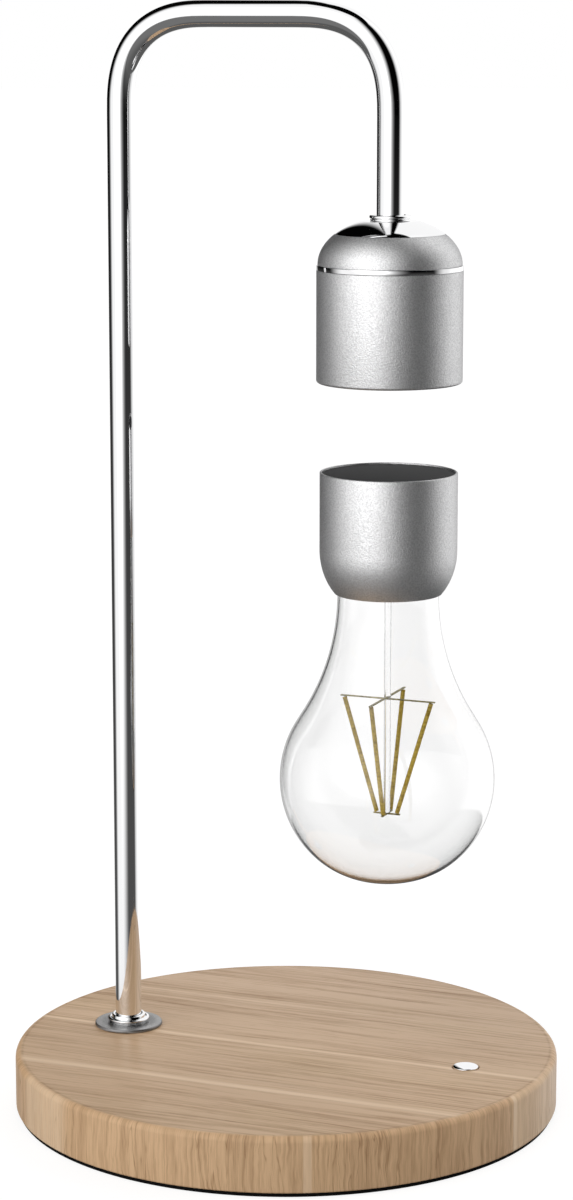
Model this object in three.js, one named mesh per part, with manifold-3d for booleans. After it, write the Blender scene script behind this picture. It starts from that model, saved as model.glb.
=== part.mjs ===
// A desk lamp whose bulb floats under the head of a swan-neck arm.
// Millimetres, +Z up. The origin is the centre of the underside, and the arm lies in the XZ plane.

import * as THREE from 'three';
import { mergeVertices } from 'three/addons/utils/BufferGeometryUtils.js';
import Module from 'manifold-3d';

const wasm = await Module();
wasm.setup();

// Clearances
const seatGap = 0.3;
const seamGap = 0.1;
const sleeveGap = 0.2;
const runningGap = 0.3;
const wireGap = 0.15;
const overrun = 1;

// Facets round each kind of piece
const baseSides = 64;
const headSides = 32;
const coilSides = 20;
const tubeSides = 18;
const boreSides = 12;
const leadSides = 8;
const hexSides = 6;
const bendSteps = 9;
const slotSteps = 6;
const edgeSteps = 3;
const domeSteps = 5;
const innerSteps = 3;
const globeSteps = 8;
const throatSteps = 4;

// Wooden base with a pocket milled from below
const baseRadius = 100;
const baseThickness = 20.3;
const baseEdgeRadius = 3;
const pocketDepth = 14.3;
const pocketHalfWidth = 20;
const pocketMargin = 1;
const padThickness = 1.2;
const padInset = 1;
const coverThickness = 2.5;
const coverLedge = 7;
const coverScrew = { headRadius: 2.8, headHeight: 1.6, shankRadius: 1.4, length: 9 };

// Electronics in the base
const boardThickness = 1.6;
const boardHalfWidth = 13;
const boardPostHeight = 1.5;
const boardPostRadius = 3;
const boardScrew = { headRadius: 2, headHeight: 1.1, shankRadius: 1, length: 4 };
const chipSide = 9;
const chipHeight = 1.4;
const chokeRadius = 5;
const chokeHeight = 5.5;
const capacitorRadius = 3.2;
const capacitorHeight = 6.5;

// Inlet for the low-voltage plug, in the rim behind the pole
const jackBlockLength = 8;
const jackBlockWidth = 9;
const jackBarrelRadius = 3.7;
const jackRecess = 1;
const plugRadius = 2.9;
const plugDepth = 9.5;
const jackPinRadius = 1.05;
const jackPinRecess = 1;

// Push button
const buttonInset = 29.8;
const buttonRadius = 4.6;
const buttonRise = 1;
const buttonRimRise = 0.35;
const buttonTravel = 0.8;
const buttonFlangeWidth = 1;
const buttonFlangeThickness = 1;
const switchSide = 12;
const plungerRadius = 2;
const plungerInsert = 2.5;

// Swan-neck tube and what clamps it
const poleInset = 35.8;
const armReach = 103.4;
const armHeight = 402.4;
const tubeRadius = 4.82;
const tubeWall = 1;
const bendReach = 35;
const bendSquareness = 2.6;
const tubeTail = 1;
const flangeRadius = 12.6;
const flangeThickness = 1.1;
const flangeEdge = 0.25;
const footCollarRadius = 7.75;
const footCollarHeight = 3;
const knurlCount = 20;
const knurlDepth = 0.35;
const headCollarRadius = 7.35;
const headCollarHeight = 2;
const washerRadius = 9;
const washerThickness = 1.2;
const nutRadius = 8;
const nutThickness = 3.5;
const cableRadius = 1.9;

// Head: barrel, ring, shoulder and crown
const headDrop = 76;
const barrelRadius = 25.8;
const barrelHeight = 39.5;
const barrelWall = 2;
const barrelEdgeRadius = 1.2;
const ledgeWidth = 1.6;
const ledgeHeight = 1.4;
const lidRecess = 0.8;
const lidThickness = 1.8;
const ringHeight = 1.7;
const spigotRise = 3.5;
const spigotWall = 1.6;
const domeRadius = 25.4;
const domeHeight = 16.5;
const domeWall = 2;
const crownRadius = 19.4;
const crownLedge = 2;
const crownSkirt = 3;
const crownWall = 2.5;
const crownThickness = 4;
const crownLandRadius = 9.8;

// Electromagnet and boards in the head
const sensorBoardRadius = 8;
const sensorBoardThickness = 1.2;
const sensorSide = 3;
const sensorHeight = 0.6;
const sendingCoilInner = 12;
const sendingCoilWidth = 9;
const flatCoilHeight = 2;
const coreRadius = 5;
const bobbinHeight = 20;
const bobbinWall = 1.2;
const bobbinFlangeRadius = 18;
const windingInset = 1;
const holdingMagnetRadius = 13;
const holdingMagnetHeight = 5;
const driverBoardDepth = 6.5;

// Bulb cap and its contents
const levitationGap = 31.8;
const capRadius = 24.5;
const capHeight = 43.4;
const capWall = 1.5;
const capRimWall = 0.8;
const capRimEdge = 0.4;
const capCurveHeight = 21.7;
const capCurveDepth = 17.5;
const capLidRecess = 0.5;
const capLidThickness = 1.3;
const floatMagnetRadius = 12.5;
const floatMagnetHeight = 8;
const carrierFloor = 1.5;
const receivingCoilInner = 14;
const rectifierRadius = 19;
const leadRadius = 0.4;
const leadSpacing = 6;

// Glass and filaments
const glassWall = 0.8;
const neckRadius = 18.1;
const neckShow = 0.4;
const neckLength = 11;
const throatRadius = 82;
const globeRadius = 38.7;
const globeFlat = 0.8;
const globeFlatPower = 10;
const flareDepth = 7;
const pinchRadius = 4.5;
const pinchLength = 3;
const stemRadius = 1.2;
const filamentRadius = 0.8;
const filamentRise = 29.4;
const filamentFall = 13;
const filamentTopRadius = 16.5;
const filamentFootRadius = 3.9;
const ribbonWidth = 0.9;
const ribbonThickness = 0.45;
const ribbonOverhang = 0.7;
const ribbonStep = 0.6;

// Outline of a grooved collar, as shares of its radius and of its height
const collarShares = [[0.93, 0], [0.93, 0.22], [1, 0.28], [1, 0.45], [0.82, 0.66], [0.92, 0.84], [0.88, 1]];
const flareShares = [[1, 0], [0.96, 0.22], [0.72, 0.55], [0.4, 0.8]];

// Heights in the base
const woodBottomZ = padThickness + seatGap;
const woodTopZ = woodBottomZ + baseThickness;
const pocketTopZ = woodBottomZ + pocketDepth;
const coverTopZ = woodBottomZ + coverThickness;
const boardBottomZ = coverTopZ + boardPostHeight + seatGap;
const boardTopZ = boardBottomZ + boardThickness;
const flangeBottomZ = woodTopZ + seamGap;
const flangeTopZ = flangeBottomZ + flangeThickness;

// Bore of what the tube passes through
const clampBore = tubeRadius + sleeveGap;

// Places along the base
const poleX = poleInset - baseRadius;
const headX = poleX + armReach;
const buttonX = baseRadius - buttonInset;
const pocketLeft = poleX - washerRadius - jackBlockLength - pocketMargin * 2;
const pocketRight = buttonX + switchSide / 2 + pocketMargin * 2;
const coverHalfWidth = pocketHalfWidth + coverLedge;
const screwY = pocketHalfWidth + coverLedge / 2;
const screwXs = [pocketLeft + pocketHalfWidth, pocketRight - pocketHalfWidth];
const boardScrewXs = [poleX + pocketHalfWidth, buttonX - pocketHalfWidth];

// Heights in the head, from the rim of the barrel
const ringBottomZ = barrelHeight + seamGap;
const ringTopZ = ringBottomZ + ringHeight;
const domeBaseZ = ringTopZ + seamGap;
const domeZ = (radius) => domeBaseZ + domeHeight * Math.sqrt(1 - (radius / domeRadius) ** 2);
const innerDomeZ = (radius) => {
  const share = radius / (domeRadius - domeWall);
  return domeBaseZ + (domeHeight - domeWall) * Math.sqrt(1 - share ** 2);
};
const crownLandZ = domeZ(crownLandRadius);
const crownCeilingZ = crownLandZ - crownThickness;
const driverBoardZ = barrelHeight - driverBoardDepth;
const lidTopZ = lidRecess + lidThickness;
const headBottomZ = armHeight - headDrop - crownLandZ;

// Heights in the bulb, from the rim of the cap down
const capTopZ = headBottomZ - levitationGap;
const capLedgeZ = -(capLidRecess + capLidThickness + seatGap);
const magnetBottomZ = capLedgeZ - floatMagnetHeight;
const carrierBottomZ = magnetBottomZ - seatGap - carrierFloor;
const rectifierTopZ = carrierBottomZ - seatGap;
const rectifierBottomZ = rectifierTopZ - boardThickness;
const throatTopZ = -(capHeight + neckShow);
const neckTopZ = throatTopZ + neckLength;
const throatX = neckRadius + throatRadius;
const throatDrop = Math.sqrt((globeRadius + throatRadius) ** 2 - throatX ** 2);
const globeZ = throatTopZ - throatDrop;
const throatAngle = Math.atan2(throatDrop, throatX);

// Materials
const finish = (colour, roughness, metalness) =>
  new THREE.MeshStandardMaterial({ color: colour, roughness, metalness });
const oak = () => finish(0xc3a480, 0.55, 0);
const blackPlastic = () => finish(0x1b1b1c, 0.6, 0);
const charcoalPlastic = () => finish(0x3a3a3a, 0.5, 0);
const chrome = () => finish(0xe4e6e8, 0.06, 1);
const satinAluminium = () => finish(0xc3c4c5, 0.38, 1);
const satinSteel = () => finish(0xa9a9aa, 0.3, 1);
const clearGlass = () => {
  const glass = finish(0xf4f8f8, 0.02, 0);
  glass.transparent = true;
  glass.opacity = 0.3;
  return glass;
};
const amberPhosphor = () => finish(0xc39a3c, 0.5, 0);
const nickelRibbon = () => finish(0x9c977f, 0.35, 1);
const copper = () => finish(0xb4703c, 0.35, 1);
const greenBoard = () => finish(0x1f5a38, 0.5, 0);
const magnetNickel = () => finish(0xb8b9bb, 0.25, 1);
const softIron = () => finish(0x55565a, 0.5, 1);
const blackRubber = () => finish(0x161616, 0.8, 0);

// Solids
function solid(geometry) {
  const bare = geometry.clone();
  bare.deleteAttribute('normal');
  bare.deleteAttribute('uv');
  const merged = mergeVertices(bare);
  const corners = Array.from(merged.index.array);
  const kept = [];
  for (let i = 0; i < corners.length; i += 3) {
    const [a, b, c] = corners.slice(i, i + 3);
    if (a !== b && b !== c && c !== a) kept.push(a, b, c);
  }
  return new wasm.Manifold(new wasm.Mesh({
    numProp: 3,
    vertProperties: new Float32Array(merged.attributes.position.array),
    triVerts: new Uint32Array(kept),
  }));
}

function shaped(body) {
  const mesh = body.getMesh();
  const geometry = new THREE.BufferGeometry();
  geometry.setAttribute('position', new THREE.BufferAttribute(mesh.vertProperties, 3));
  geometry.setIndex(new THREE.BufferAttribute(mesh.triVerts, 1));
  geometry.computeVertexNormals();
  return geometry;
}

const cut = (geometry, ...tools) =>
  shaped(tools.reduce((rest, tool) => rest.subtract(solid(tool)), solid(geometry)));
const join = (geometry, ...others) =>
  shaped(others.reduce((sum, other) => sum.add(solid(other)), solid(geometry)));

function turned(outline, sides) {
  const loop = outline.map(([radius, z]) => new THREE.Vector2(radius, z));
  if (THREE.ShapeUtils.area(loop) < 0) loop.reverse();
  if (loop.some((point) => point.x === 0)) {
    while (loop[0].x !== 0 || loop[loop.length - 1].x !== 0) loop.push(loop.shift());
  } else {
    loop.push(loop[0].clone());
  }
  return new THREE.LatheGeometry(loop, sides).rotateX(Math.PI / 2);
}

const tube = (outer, inner, bottom, top, sides) =>
  turned([[inner, bottom], [outer, bottom], [outer, top], [inner, top]], sides);
const rod = (radius, bottom, top, sides) =>
  turned([[0, bottom], [radius, bottom], [radius, top], [0, top]], sides);
const block = (length, width, bottom, top) =>
  new THREE.BoxGeometry(length, width, top - bottom).translate(0, 0, (bottom + top) / 2);
const along = (geometry, x, y = 0) => geometry.translate(x, y, 0);

// Points of an arc from one angle to another, both ends included
function arc(centreRadius, centreZ, radius, from, to, steps) {
  const points = [];
  for (let i = 0; i <= steps; i++) {
    const angle = from + (to - from) * i / steps;
    points.push([centreRadius + radius * Math.cos(angle), centreZ + radius * Math.sin(angle)]);
  }
  return points;
}

function ring(radius, sides, start = 0) {
  const points = [];
  for (let i = 0; i < sides; i++) {
    const angle = start + i * 2 * Math.PI / sides;
    points.push(new THREE.Vector2(radius * Math.cos(angle), radius * Math.sin(angle)));
  }
  return points;
}

const plate = (outline, bottom, top) =>
  new THREE.ExtrudeGeometry(outline, { depth: top - bottom, curveSegments: slotSteps, bevelEnabled: false })
    .translate(0, 0, bottom);

// Outline with straight sides along X and round ends
function slot(left, right, halfWidth) {
  const outline = new THREE.Shape();
  outline.absarc(right - halfWidth, 0, halfWidth, -Math.PI / 2, Math.PI / 2, false);
  outline.absarc(left + halfWidth, 0, halfWidth, Math.PI / 2, Math.PI * 3 / 2, false);
  return outline;
}

function nut(boreRadius, bottom, top) {
  const outline = new THREE.Shape(ring(nutRadius, hexSides));
  outline.holes.push(new THREE.Path(ring(boreRadius, tubeSides)));
  return plate(outline, bottom, top);
}

function collar(radius, height, bottom) {
  const groove = collarShares.map(([across, up]) => [radius * across, bottom + height * up]);
  const top = bottom + height * collarShares[collarShares.length - 1][1];
  return turned([[clampBore, bottom], ...groove, [clampBore, top]], coilSides);
}

// A screw with its head at the start of the outline, grown all round for the hole that takes it
function screwOutline({ headRadius, headHeight, shankRadius, length }, grown, sunk) {
  const neckZ = sunk ? headHeight + grown : headHeight;
  const start = grown > 0 ? -overrun : 0;
  const throat = sunk ? [] : [[headRadius + grown, headHeight]];
  const rim = sunk ? [[headRadius + grown, 0]] : [];
  return [[0, start], [headRadius + grown, start], ...rim, ...throat,
    [shankRadius + grown, neckZ], [shankRadius + grown, length + grown], [0, length + grown]];
}

// A path given by the places of its cross-sections
class StationPath extends THREE.Curve {
  constructor(stations) {
    super();
    this.stations = stations;
  }

  getPoint(t, target = new THREE.Vector3()) {
    const last = this.stations.length - 1;
    const index = Math.min(Math.floor(t * last), last - 1);
    return target.lerpVectors(this.stations[index], this.stations[index + 1], t * last - index);
  }

  getUtoTmapping(u) {
    return u;
  }
}

// A bend that eases in and out: how far across and up it is, as shares of its reach, after each turn
function bendShares(turn) {
  const across = Math.cos(turn) ** (1 / (bendSquareness - 1));
  const up = Math.sin(turn) ** (1 / (bendSquareness - 1));
  const size = (across ** bendSquareness + up ** bendSquareness) ** (1 / bendSquareness);
  return [across / size, up / size];
}

function armPath(startZ, endZ) {
  const bendZ = armHeight - tubeRadius - bendReach;
  const poleBend = [];
  const dropBend = [];
  for (let i = 0; i <= bendSteps; i++) {
    const [across, up] = bendShares(Math.PI / 2 * i / bendSteps);
    const z = bendZ + bendReach * up;
    poleBend.push(new THREE.Vector3(poleX + bendReach * (1 - across), 0, z));
    dropBend.push(new THREE.Vector3(headX - bendReach * (1 - across), 0, z));
  }
  const foot = new THREE.Vector3(poleX, 0, startZ);
  const tip = new THREE.Vector3(headX, 0, endZ);
  return new StationPath([foot, ...poleBend, ...dropBend.reverse(), tip]);
}

const swept = (outline, path) => new THREE.ExtrudeGeometry(outline, {
  extrudePath: path, steps: path.stations.length - 1, bevelEnabled: false,
});

const lamp = new THREE.Group();
const base = new THREE.Group();
const head = new THREE.Group();
const bulb = new THREE.Group();
head.position.set(headX, 0, headBottomZ);
bulb.position.set(headX, 0, capTopZ);
lamp.add(base, head, bulb);

function piece(group, name, geometry, material) {
  const mesh = new THREE.Mesh(geometry, material);
  mesh.name = name;
  group.add(mesh);
  return mesh;
}

// Base: wood, cover, screws and pad
const cornerPlaces = screwXs.flatMap((x) => [[x, screwY], [x, -screwY]]);
const coverScrewHole = () =>
  turned(screwOutline(coverScrew, seatGap, true), leadSides).translate(0, 0, woodBottomZ);

function woodenDisc() {
  const round = turned([
    [0, woodBottomZ],
    [baseRadius, woodBottomZ],
    ...arc(baseRadius - baseEdgeRadius, woodTopZ - baseEdgeRadius, baseEdgeRadius, 0, Math.PI / 2,
      edgeSteps),
    [0, woodTopZ],
  ], baseSides);
  const pocket = plate(slot(pocketLeft, pocketRight, pocketHalfWidth), woodBottomZ - overrun, pocketTopZ);
  const rebate = plate(
    slot(pocketLeft - coverLedge - seatGap, pocketRight + coverLedge + seatGap, coverHalfWidth + seatGap),
    woodBottomZ - overrun, coverTopZ + seatGap);
  const poleHole = along(rod(tubeRadius + seatGap, coverTopZ, woodTopZ + overrun, tubeSides), poleX);
  const buttonHole = along(
    rod(buttonRadius + runningGap, coverTopZ, woodTopZ + overrun, tubeSides), buttonX);
  const screwHoles = cornerPlaces.map(([x, y]) => along(coverScrewHole(), x, y));
  return cut(round, pocket, rebate, poleHole, buttonHole, jackHole(), ...screwHoles);
}

function coverPlate() {
  const sheet = plate(
    slot(pocketLeft - coverLedge, pocketRight + coverLedge, coverHalfWidth), woodBottomZ, coverTopZ);
  const posts = boardScrewXs.map((x) =>
    along(rod(boardPostRadius, woodBottomZ, coverTopZ + boardPostHeight, boreSides), x));
  const postHoles = boardScrewXs.map((x) => along(boardScrewHole(), x));
  const screwHoles = cornerPlaces.map(([x, y]) => along(coverScrewHole(), x, y));
  return cut(join(sheet, ...posts), ...screwHoles, ...postHoles);
}

// The board is screwed down from above, so its screws are turned over
const boardScrewHeadZ = boardTopZ + seamGap + boardScrew.headHeight;
const overTurned = (outline) => outline.map(([radius, z]) => [radius, boardScrewHeadZ - z]);
const boardScrewHole = () => turned(overTurned(screwOutline(boardScrew, sleeveGap, false)), leadSides);

function controlBoard() {
  const left = pocketLeft + pocketMargin * 2;
  const right = pocketRight - pocketMargin;
  const sheet = plate(slot(left, right, boardHalfWidth), boardBottomZ, boardTopZ);
  const middle = (poleX + buttonX) / 2;
  const chips = [-chipSide, chipSide].map((x) =>
    along(block(chipSide, chipSide, boardBottomZ, boardTopZ + chipHeight), middle + x));
  const choke = along(
    rod(chokeRadius, boardBottomZ, boardTopZ + chokeHeight, boreSides), middle + chipSide * 3);
  const capacitors = [-1, 1].map((side) => along(
    rod(capacitorRadius, boardBottomZ, boardTopZ + capacitorHeight, boreSides),
    middle - chipSide * 3, side * capacitorRadius * 2));
  const screwHoles = boardScrewXs.map((x) => along(boardScrewHole(), x));
  return cut(join(sheet, ...chips, choke, ...capacitors), ...screwHoles);
}

piece(base, 'base_disc', woodenDisc(), oak());
piece(base, 'base_cover', coverPlate(), blackPlastic());
piece(base, 'foot_pad', rod(baseRadius - padInset, 0, padThickness, baseSides), blackRubber());
piece(base, 'control_board', controlBoard(), greenBoard());
cornerPlaces.forEach(([x, y], i) => {
  const screw = turned(screwOutline(coverScrew, 0, true), leadSides).translate(0, 0, woodBottomZ);
  piece(base, `cover_screw_${i + 1}`, along(screw, x, y), satinSteel());
});
boardScrewXs.forEach((x, i) => {
  const screw = turned(overTurned(screwOutline(boardScrew, 0, false)), leadSides);
  piece(base, `board_screw_${i + 1}`, along(screw, x), satinSteel());
});

// Inlet: a barrel through the rim, a block in the pocket and a centre pin
function jackLayout() {
  const bottomZ = boardTopZ + seatGap;
  const topZ = pocketTopZ - seatGap;
  return {
    bottomZ, topZ, axisZ: (bottomZ + topZ) / 2,
    mouthX: jackRecess - baseRadius,
    blockX: pocketLeft + pocketMargin,
    endX: pocketLeft + pocketMargin + jackBlockLength,
  };
}

// A round bar along X
function crossRod(radius, fromX, toX, z, sides) {
  return rod(radius, 0, toX - fromX, sides).rotateY(Math.PI / 2).translate(fromX, 0, z);
}

function jackHole() {
  const { axisZ, blockX } = jackLayout();
  return crossRod(jackBarrelRadius + seatGap, -(baseRadius + overrun), blockX, axisZ, tubeSides);
}

function jackBody() {
  const { bottomZ, topZ, axisZ, mouthX, blockX, endX } = jackLayout();
  const barrel = crossRod(jackBarrelRadius, mouthX, blockX + overrun, axisZ, tubeSides);
  const body = along(block(endX - blockX, jackBlockWidth, bottomZ, topZ), (blockX + endX) / 2);
  const bore = crossRod(plugRadius, mouthX - overrun, mouthX + plugDepth, axisZ, boreSides);
  const pinHole = crossRod(jackPinRadius + wireGap, mouthX, blockX + jackBlockLength / 2, axisZ, leadSides);
  return cut(join(body, barrel), bore, pinHole);
}

function jackPin() {
  const { axisZ, mouthX, blockX } = jackLayout();
  const end = blockX + jackBlockLength / 2 - seatGap;
  return crossRod(jackPinRadius, mouthX + jackPinRecess, end, axisZ, leadSides);
}

piece(base, 'dc_jack', jackBody(), blackPlastic());
piece(base, 'jack_pin', jackPin(), satinSteel());

// Push button over its switch
const buttonFlangeTopZ = pocketTopZ - seatGap;
const buttonFlangeBottomZ = buttonFlangeTopZ - buttonFlangeThickness;
const switchTopZ = buttonFlangeBottomZ - buttonTravel - runningGap;
const plungerBottomZ = switchTopZ - plungerInsert;

function buttonCap() {
  const rimZ = woodTopZ + buttonRimRise;
  const rise = buttonRise - buttonRimRise;
  const curve = (buttonRadius ** 2 + rise ** 2) / (2 * rise);
  const reach = Math.asin(buttonRadius / curve);
  const dome = arc(0, rimZ + rise - curve, curve, Math.PI / 2 - reach, Math.PI / 2, edgeSteps);
  dome[dome.length - 1][0] = 0;
  const flange = buttonRadius + buttonFlangeWidth;
  return turned([
    [0, buttonFlangeBottomZ], [flange, buttonFlangeBottomZ], [flange, buttonFlangeTopZ],
    [buttonRadius, buttonFlangeTopZ], ...dome,
  ], coilSides);
}

function switchBody() {
  const body = block(switchSide, switchSide, boardTopZ + seatGap, switchTopZ);
  const wellFloor = plungerBottomZ - buttonTravel - runningGap;
  const well = rod(plungerRadius + runningGap, wellFloor, switchTopZ + overrun, boreSides);
  return along(cut(body, well), buttonX);
}

piece(base, 'button_cap', along(buttonCap(), buttonX), chrome());
const plunger = rod(plungerRadius, plungerBottomZ, buttonFlangeBottomZ - seamGap, boreSides);
piece(base, 'switch_plunger', along(plunger, buttonX), blackPlastic());
piece(base, 'switch_body', switchBody(), blackPlastic());

// Swan-neck tube, its cable and what clamps its foot
const poleWasherTopZ = pocketTopZ - seatGap;
const poleNutTopZ = poleWasherTopZ - washerThickness - seatGap;
const headWasherTopZ = headBottomZ + crownCeilingZ - seatGap;
const headNutTopZ = headWasherTopZ - washerThickness - seatGap;
const tubeStartZ = poleNutTopZ - nutThickness - tubeTail;
const tubeEndZ = headNutTopZ - nutThickness - tubeTail;

const tubeSection = new THREE.Shape(ring(tubeRadius, tubeSides));
tubeSection.holes.push(new THREE.Path(ring(tubeRadius - tubeWall, boreSides)));
const cableSection = new THREE.Shape(ring(cableRadius, leadSides));
const driverBoardTopZ = headBottomZ + driverBoardZ + seatGap + boardThickness;

function footCollar() {
  const plain = collar(footCollarRadius, footCollarHeight, flangeTopZ + seamGap);
  const knurlRadius = footCollarRadius * collarShares[0][0];
  const knurlTopZ = flangeTopZ + seamGap + footCollarHeight * collarShares[1][1];
  const grooves = [];
  for (let i = 0; i < knurlCount; i++) {
    const groove = rod(knurlDepth, flangeTopZ - overrun, knurlTopZ, hexSides - 2);
    grooves.push(solid(groove.translate(knurlRadius, 0, 0).rotateZ(i * 2 * Math.PI / knurlCount)));
  }
  return shaped(grooves.reduce((rest, groove) => rest.subtract(groove), solid(plain)));
}

function footFlange() {
  const inset = flangeRadius - flangeEdge;
  return turned([
    [clampBore, flangeBottomZ], [flangeRadius, flangeBottomZ],
    [flangeRadius, flangeTopZ - flangeEdge], [inset, flangeTopZ], [clampBore, flangeTopZ],
  ], headSides);
}

const washer = (top) => tube(washerRadius, clampBore, top - washerThickness, top, coilSides);
const cablePath = armPath(boardTopZ + seatGap, driverBoardTopZ + seatGap);
const poleNut = nut(clampBore, poleNutTopZ - nutThickness, poleNutTopZ);
piece(base, 'swan_neck_tube', swept(tubeSection, armPath(tubeStartZ, tubeEndZ)), chrome());
piece(base, 'arm_cable', swept(cableSection, cablePath), blackRubber());
piece(base, 'foot_flange', along(footFlange(), poleX), satinSteel());
piece(base, 'foot_collar', along(footCollar(), poleX), chrome());
piece(base, 'pole_washer', along(washer(poleWasherTopZ), poleX), satinSteel());
piece(base, 'pole_nut', along(poleNut, poleX), satinSteel());

// Head: shells
const barrelBore = barrelRadius - barrelWall;
const ledgeBore = barrelBore - ledgeWidth;

function barrel() {
  const lidLedgeZ = lidTopZ + seatGap;
  const edge = arc(
    barrelRadius - barrelEdgeRadius, barrelEdgeRadius, barrelEdgeRadius, -Math.PI / 2, 0, edgeSteps);
  return turned([
    [barrelBore, 0], ...edge, [barrelRadius, barrelHeight], [barrelBore, barrelHeight],
    [barrelBore, driverBoardZ], [ledgeBore, driverBoardZ], [ledgeBore, driverBoardZ - ledgeHeight],
    [barrelBore, driverBoardZ - ledgeHeight], [barrelBore, lidLedgeZ + ledgeHeight],
    [ledgeBore, lidLedgeZ + ledgeHeight], [ledgeBore, lidLedgeZ], [barrelBore, lidLedgeZ],
  ], headSides);
}

function accentRing() {
  const lowerRadius = barrelBore - seatGap;
  const lowerZ = driverBoardZ + seatGap * 2 + boardThickness;
  const lean = spigotRise / (domeHeight - domeWall);
  const upperRadius = (domeRadius - domeWall) * Math.sqrt(1 - lean ** 2) - seatGap;
  const bore = upperRadius - spigotWall;
  return turned([
    [bore, lowerZ], [lowerRadius, lowerZ], [lowerRadius, ringBottomZ], [barrelRadius, ringBottomZ],
    [barrelRadius, ringTopZ], [upperRadius, ringTopZ], [upperRadius, domeBaseZ + spigotRise],
    [bore, domeBaseZ + spigotRise],
  ], headSides);
}

// Points down one side of a dome, evenly spaced in angle
function domeArc(fromRadius, toRadius, outerRadius, heightAt, steps) {
  const points = [];
  const [from, to] = [Math.acos(fromRadius / outerRadius), Math.acos(toRadius / outerRadius)];
  for (let i = 0; i <= steps; i++) {
    const radius = outerRadius * Math.cos(from + (to - from) * i / steps);
    points.push([radius, heightAt(Math.min(radius, outerRadius))]);
  }
  return points;
}

function shoulder() {
  const mouth = crownRadius - crownLedge;
  return turned([
    ...domeArc(domeRadius, crownRadius, domeRadius, domeZ, domeSteps),
    [mouth, domeZ(crownRadius)],
    ...domeArc(mouth, domeRadius - domeWall, domeRadius - domeWall, innerDomeZ, innerSteps),
  ], headSides);
}

function crown() {
  const rim = crownRadius - seamGap;
  const skirt = crownRadius - crownLedge - seatGap;
  const skirtZ = domeZ(crownRadius) - crownSkirt;
  return turned([
    [clampBore, crownCeilingZ], [skirt - crownWall, crownCeilingZ], [skirt - crownWall, skirtZ],
    [skirt, skirtZ], [skirt, domeZ(rim)],
    ...domeArc(rim, crownLandRadius, domeRadius, domeZ, domeSteps), [clampBore, crownLandZ],
  ], headSides);
}

piece(head, 'housing_barrel', barrel(), satinAluminium());
piece(head, 'housing_lid', rod(barrelBore - seatGap, lidRecess, lidTopZ, headSides), blackPlastic());
piece(head, 'accent_ring', accentRing(), chrome());
piece(head, 'housing_shoulder', shoulder(), satinAluminium());
piece(head, 'housing_crown', crown(), chrome());
piece(head, 'head_collar', collar(headCollarRadius, headCollarHeight, crownLandZ + seamGap), chrome());

// Head: clamp, electromagnet and boards
const clampTopZ = crownCeilingZ - seatGap;
const headNutZ = clampTopZ - washerThickness - seatGap;
const flatCoilZ = lidTopZ + seatGap;
const sensorTopZ = flatCoilZ + sensorBoardThickness;
const bobbinZ = flatCoilZ + flatCoilHeight + seatGap;
const bobbinTopZ = bobbinZ + bobbinHeight;
const bobbinBore = coreRadius + seatGap;
const hubRadius = bobbinBore + bobbinWall;

function bobbin() {
  return turned([
    [bobbinBore, bobbinZ], [bobbinFlangeRadius, bobbinZ], [bobbinFlangeRadius, bobbinZ + bobbinWall],
    [hubRadius, bobbinZ + bobbinWall], [hubRadius, bobbinTopZ - bobbinWall],
    [bobbinFlangeRadius, bobbinTopZ - bobbinWall], [bobbinFlangeRadius, bobbinTopZ],
    [bobbinBore, bobbinTopZ],
  ], coilSides);
}

function driverBoard() {
  const bottom = driverBoardZ + seatGap;
  const top = bottom + boardThickness;
  const disc = rod(barrelBore - seatGap, bottom, top, headSides);
  const parts = [-1, 1].map((side) =>
    along(block(chipSide, chipSide, bottom, top + chipHeight), 0, side * chipSide));
  const choke = along(rod(capacitorRadius, bottom, top + chipHeight * 2, boreSides), chipSide);
  return join(disc, ...parts, choke);
}

function sensorBoard() {
  const disc = rod(sensorBoardRadius, flatCoilZ, sensorTopZ, coilSides);
  return join(disc, block(sensorSide, sensorSide, flatCoilZ, sensorTopZ + sensorHeight));
}

piece(head, 'head_washer', washer(clampTopZ), satinSteel());
piece(head, 'head_nut', nut(clampBore, headNutZ - nutThickness, headNutZ), satinSteel());
piece(head, 'driver_board', driverBoard(), greenBoard());
piece(head, 'sensor_board', sensorBoard(), greenBoard());
piece(head, 'sending_coil', tube(sendingCoilInner + sendingCoilWidth, sendingCoilInner, flatCoilZ,
  flatCoilZ + flatCoilHeight, coilSides), copper());
piece(head, 'coil_bobbin', bobbin(), blackPlastic());
piece(head, 'levitation_coil', tube(bobbinFlangeRadius - windingInset, hubRadius + seatGap,
  bobbinZ + bobbinWall + seatGap, bobbinTopZ - bobbinWall - seatGap, coilSides), copper());
const core = rod(coreRadius, sensorTopZ + sensorHeight + seatGap, bobbinTopZ, coilSides);
piece(head, 'coil_core', core, softIron());
piece(head, 'holding_magnet', rod(holdingMagnetRadius, bobbinTopZ + seatGap,
  bobbinTopZ + seatGap + holdingMagnetHeight, coilSides), magnetNickel());

// Bulb: cap and what it holds
const capBore = capRadius - capWall;
const neckHole = neckRadius + seatGap;

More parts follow.
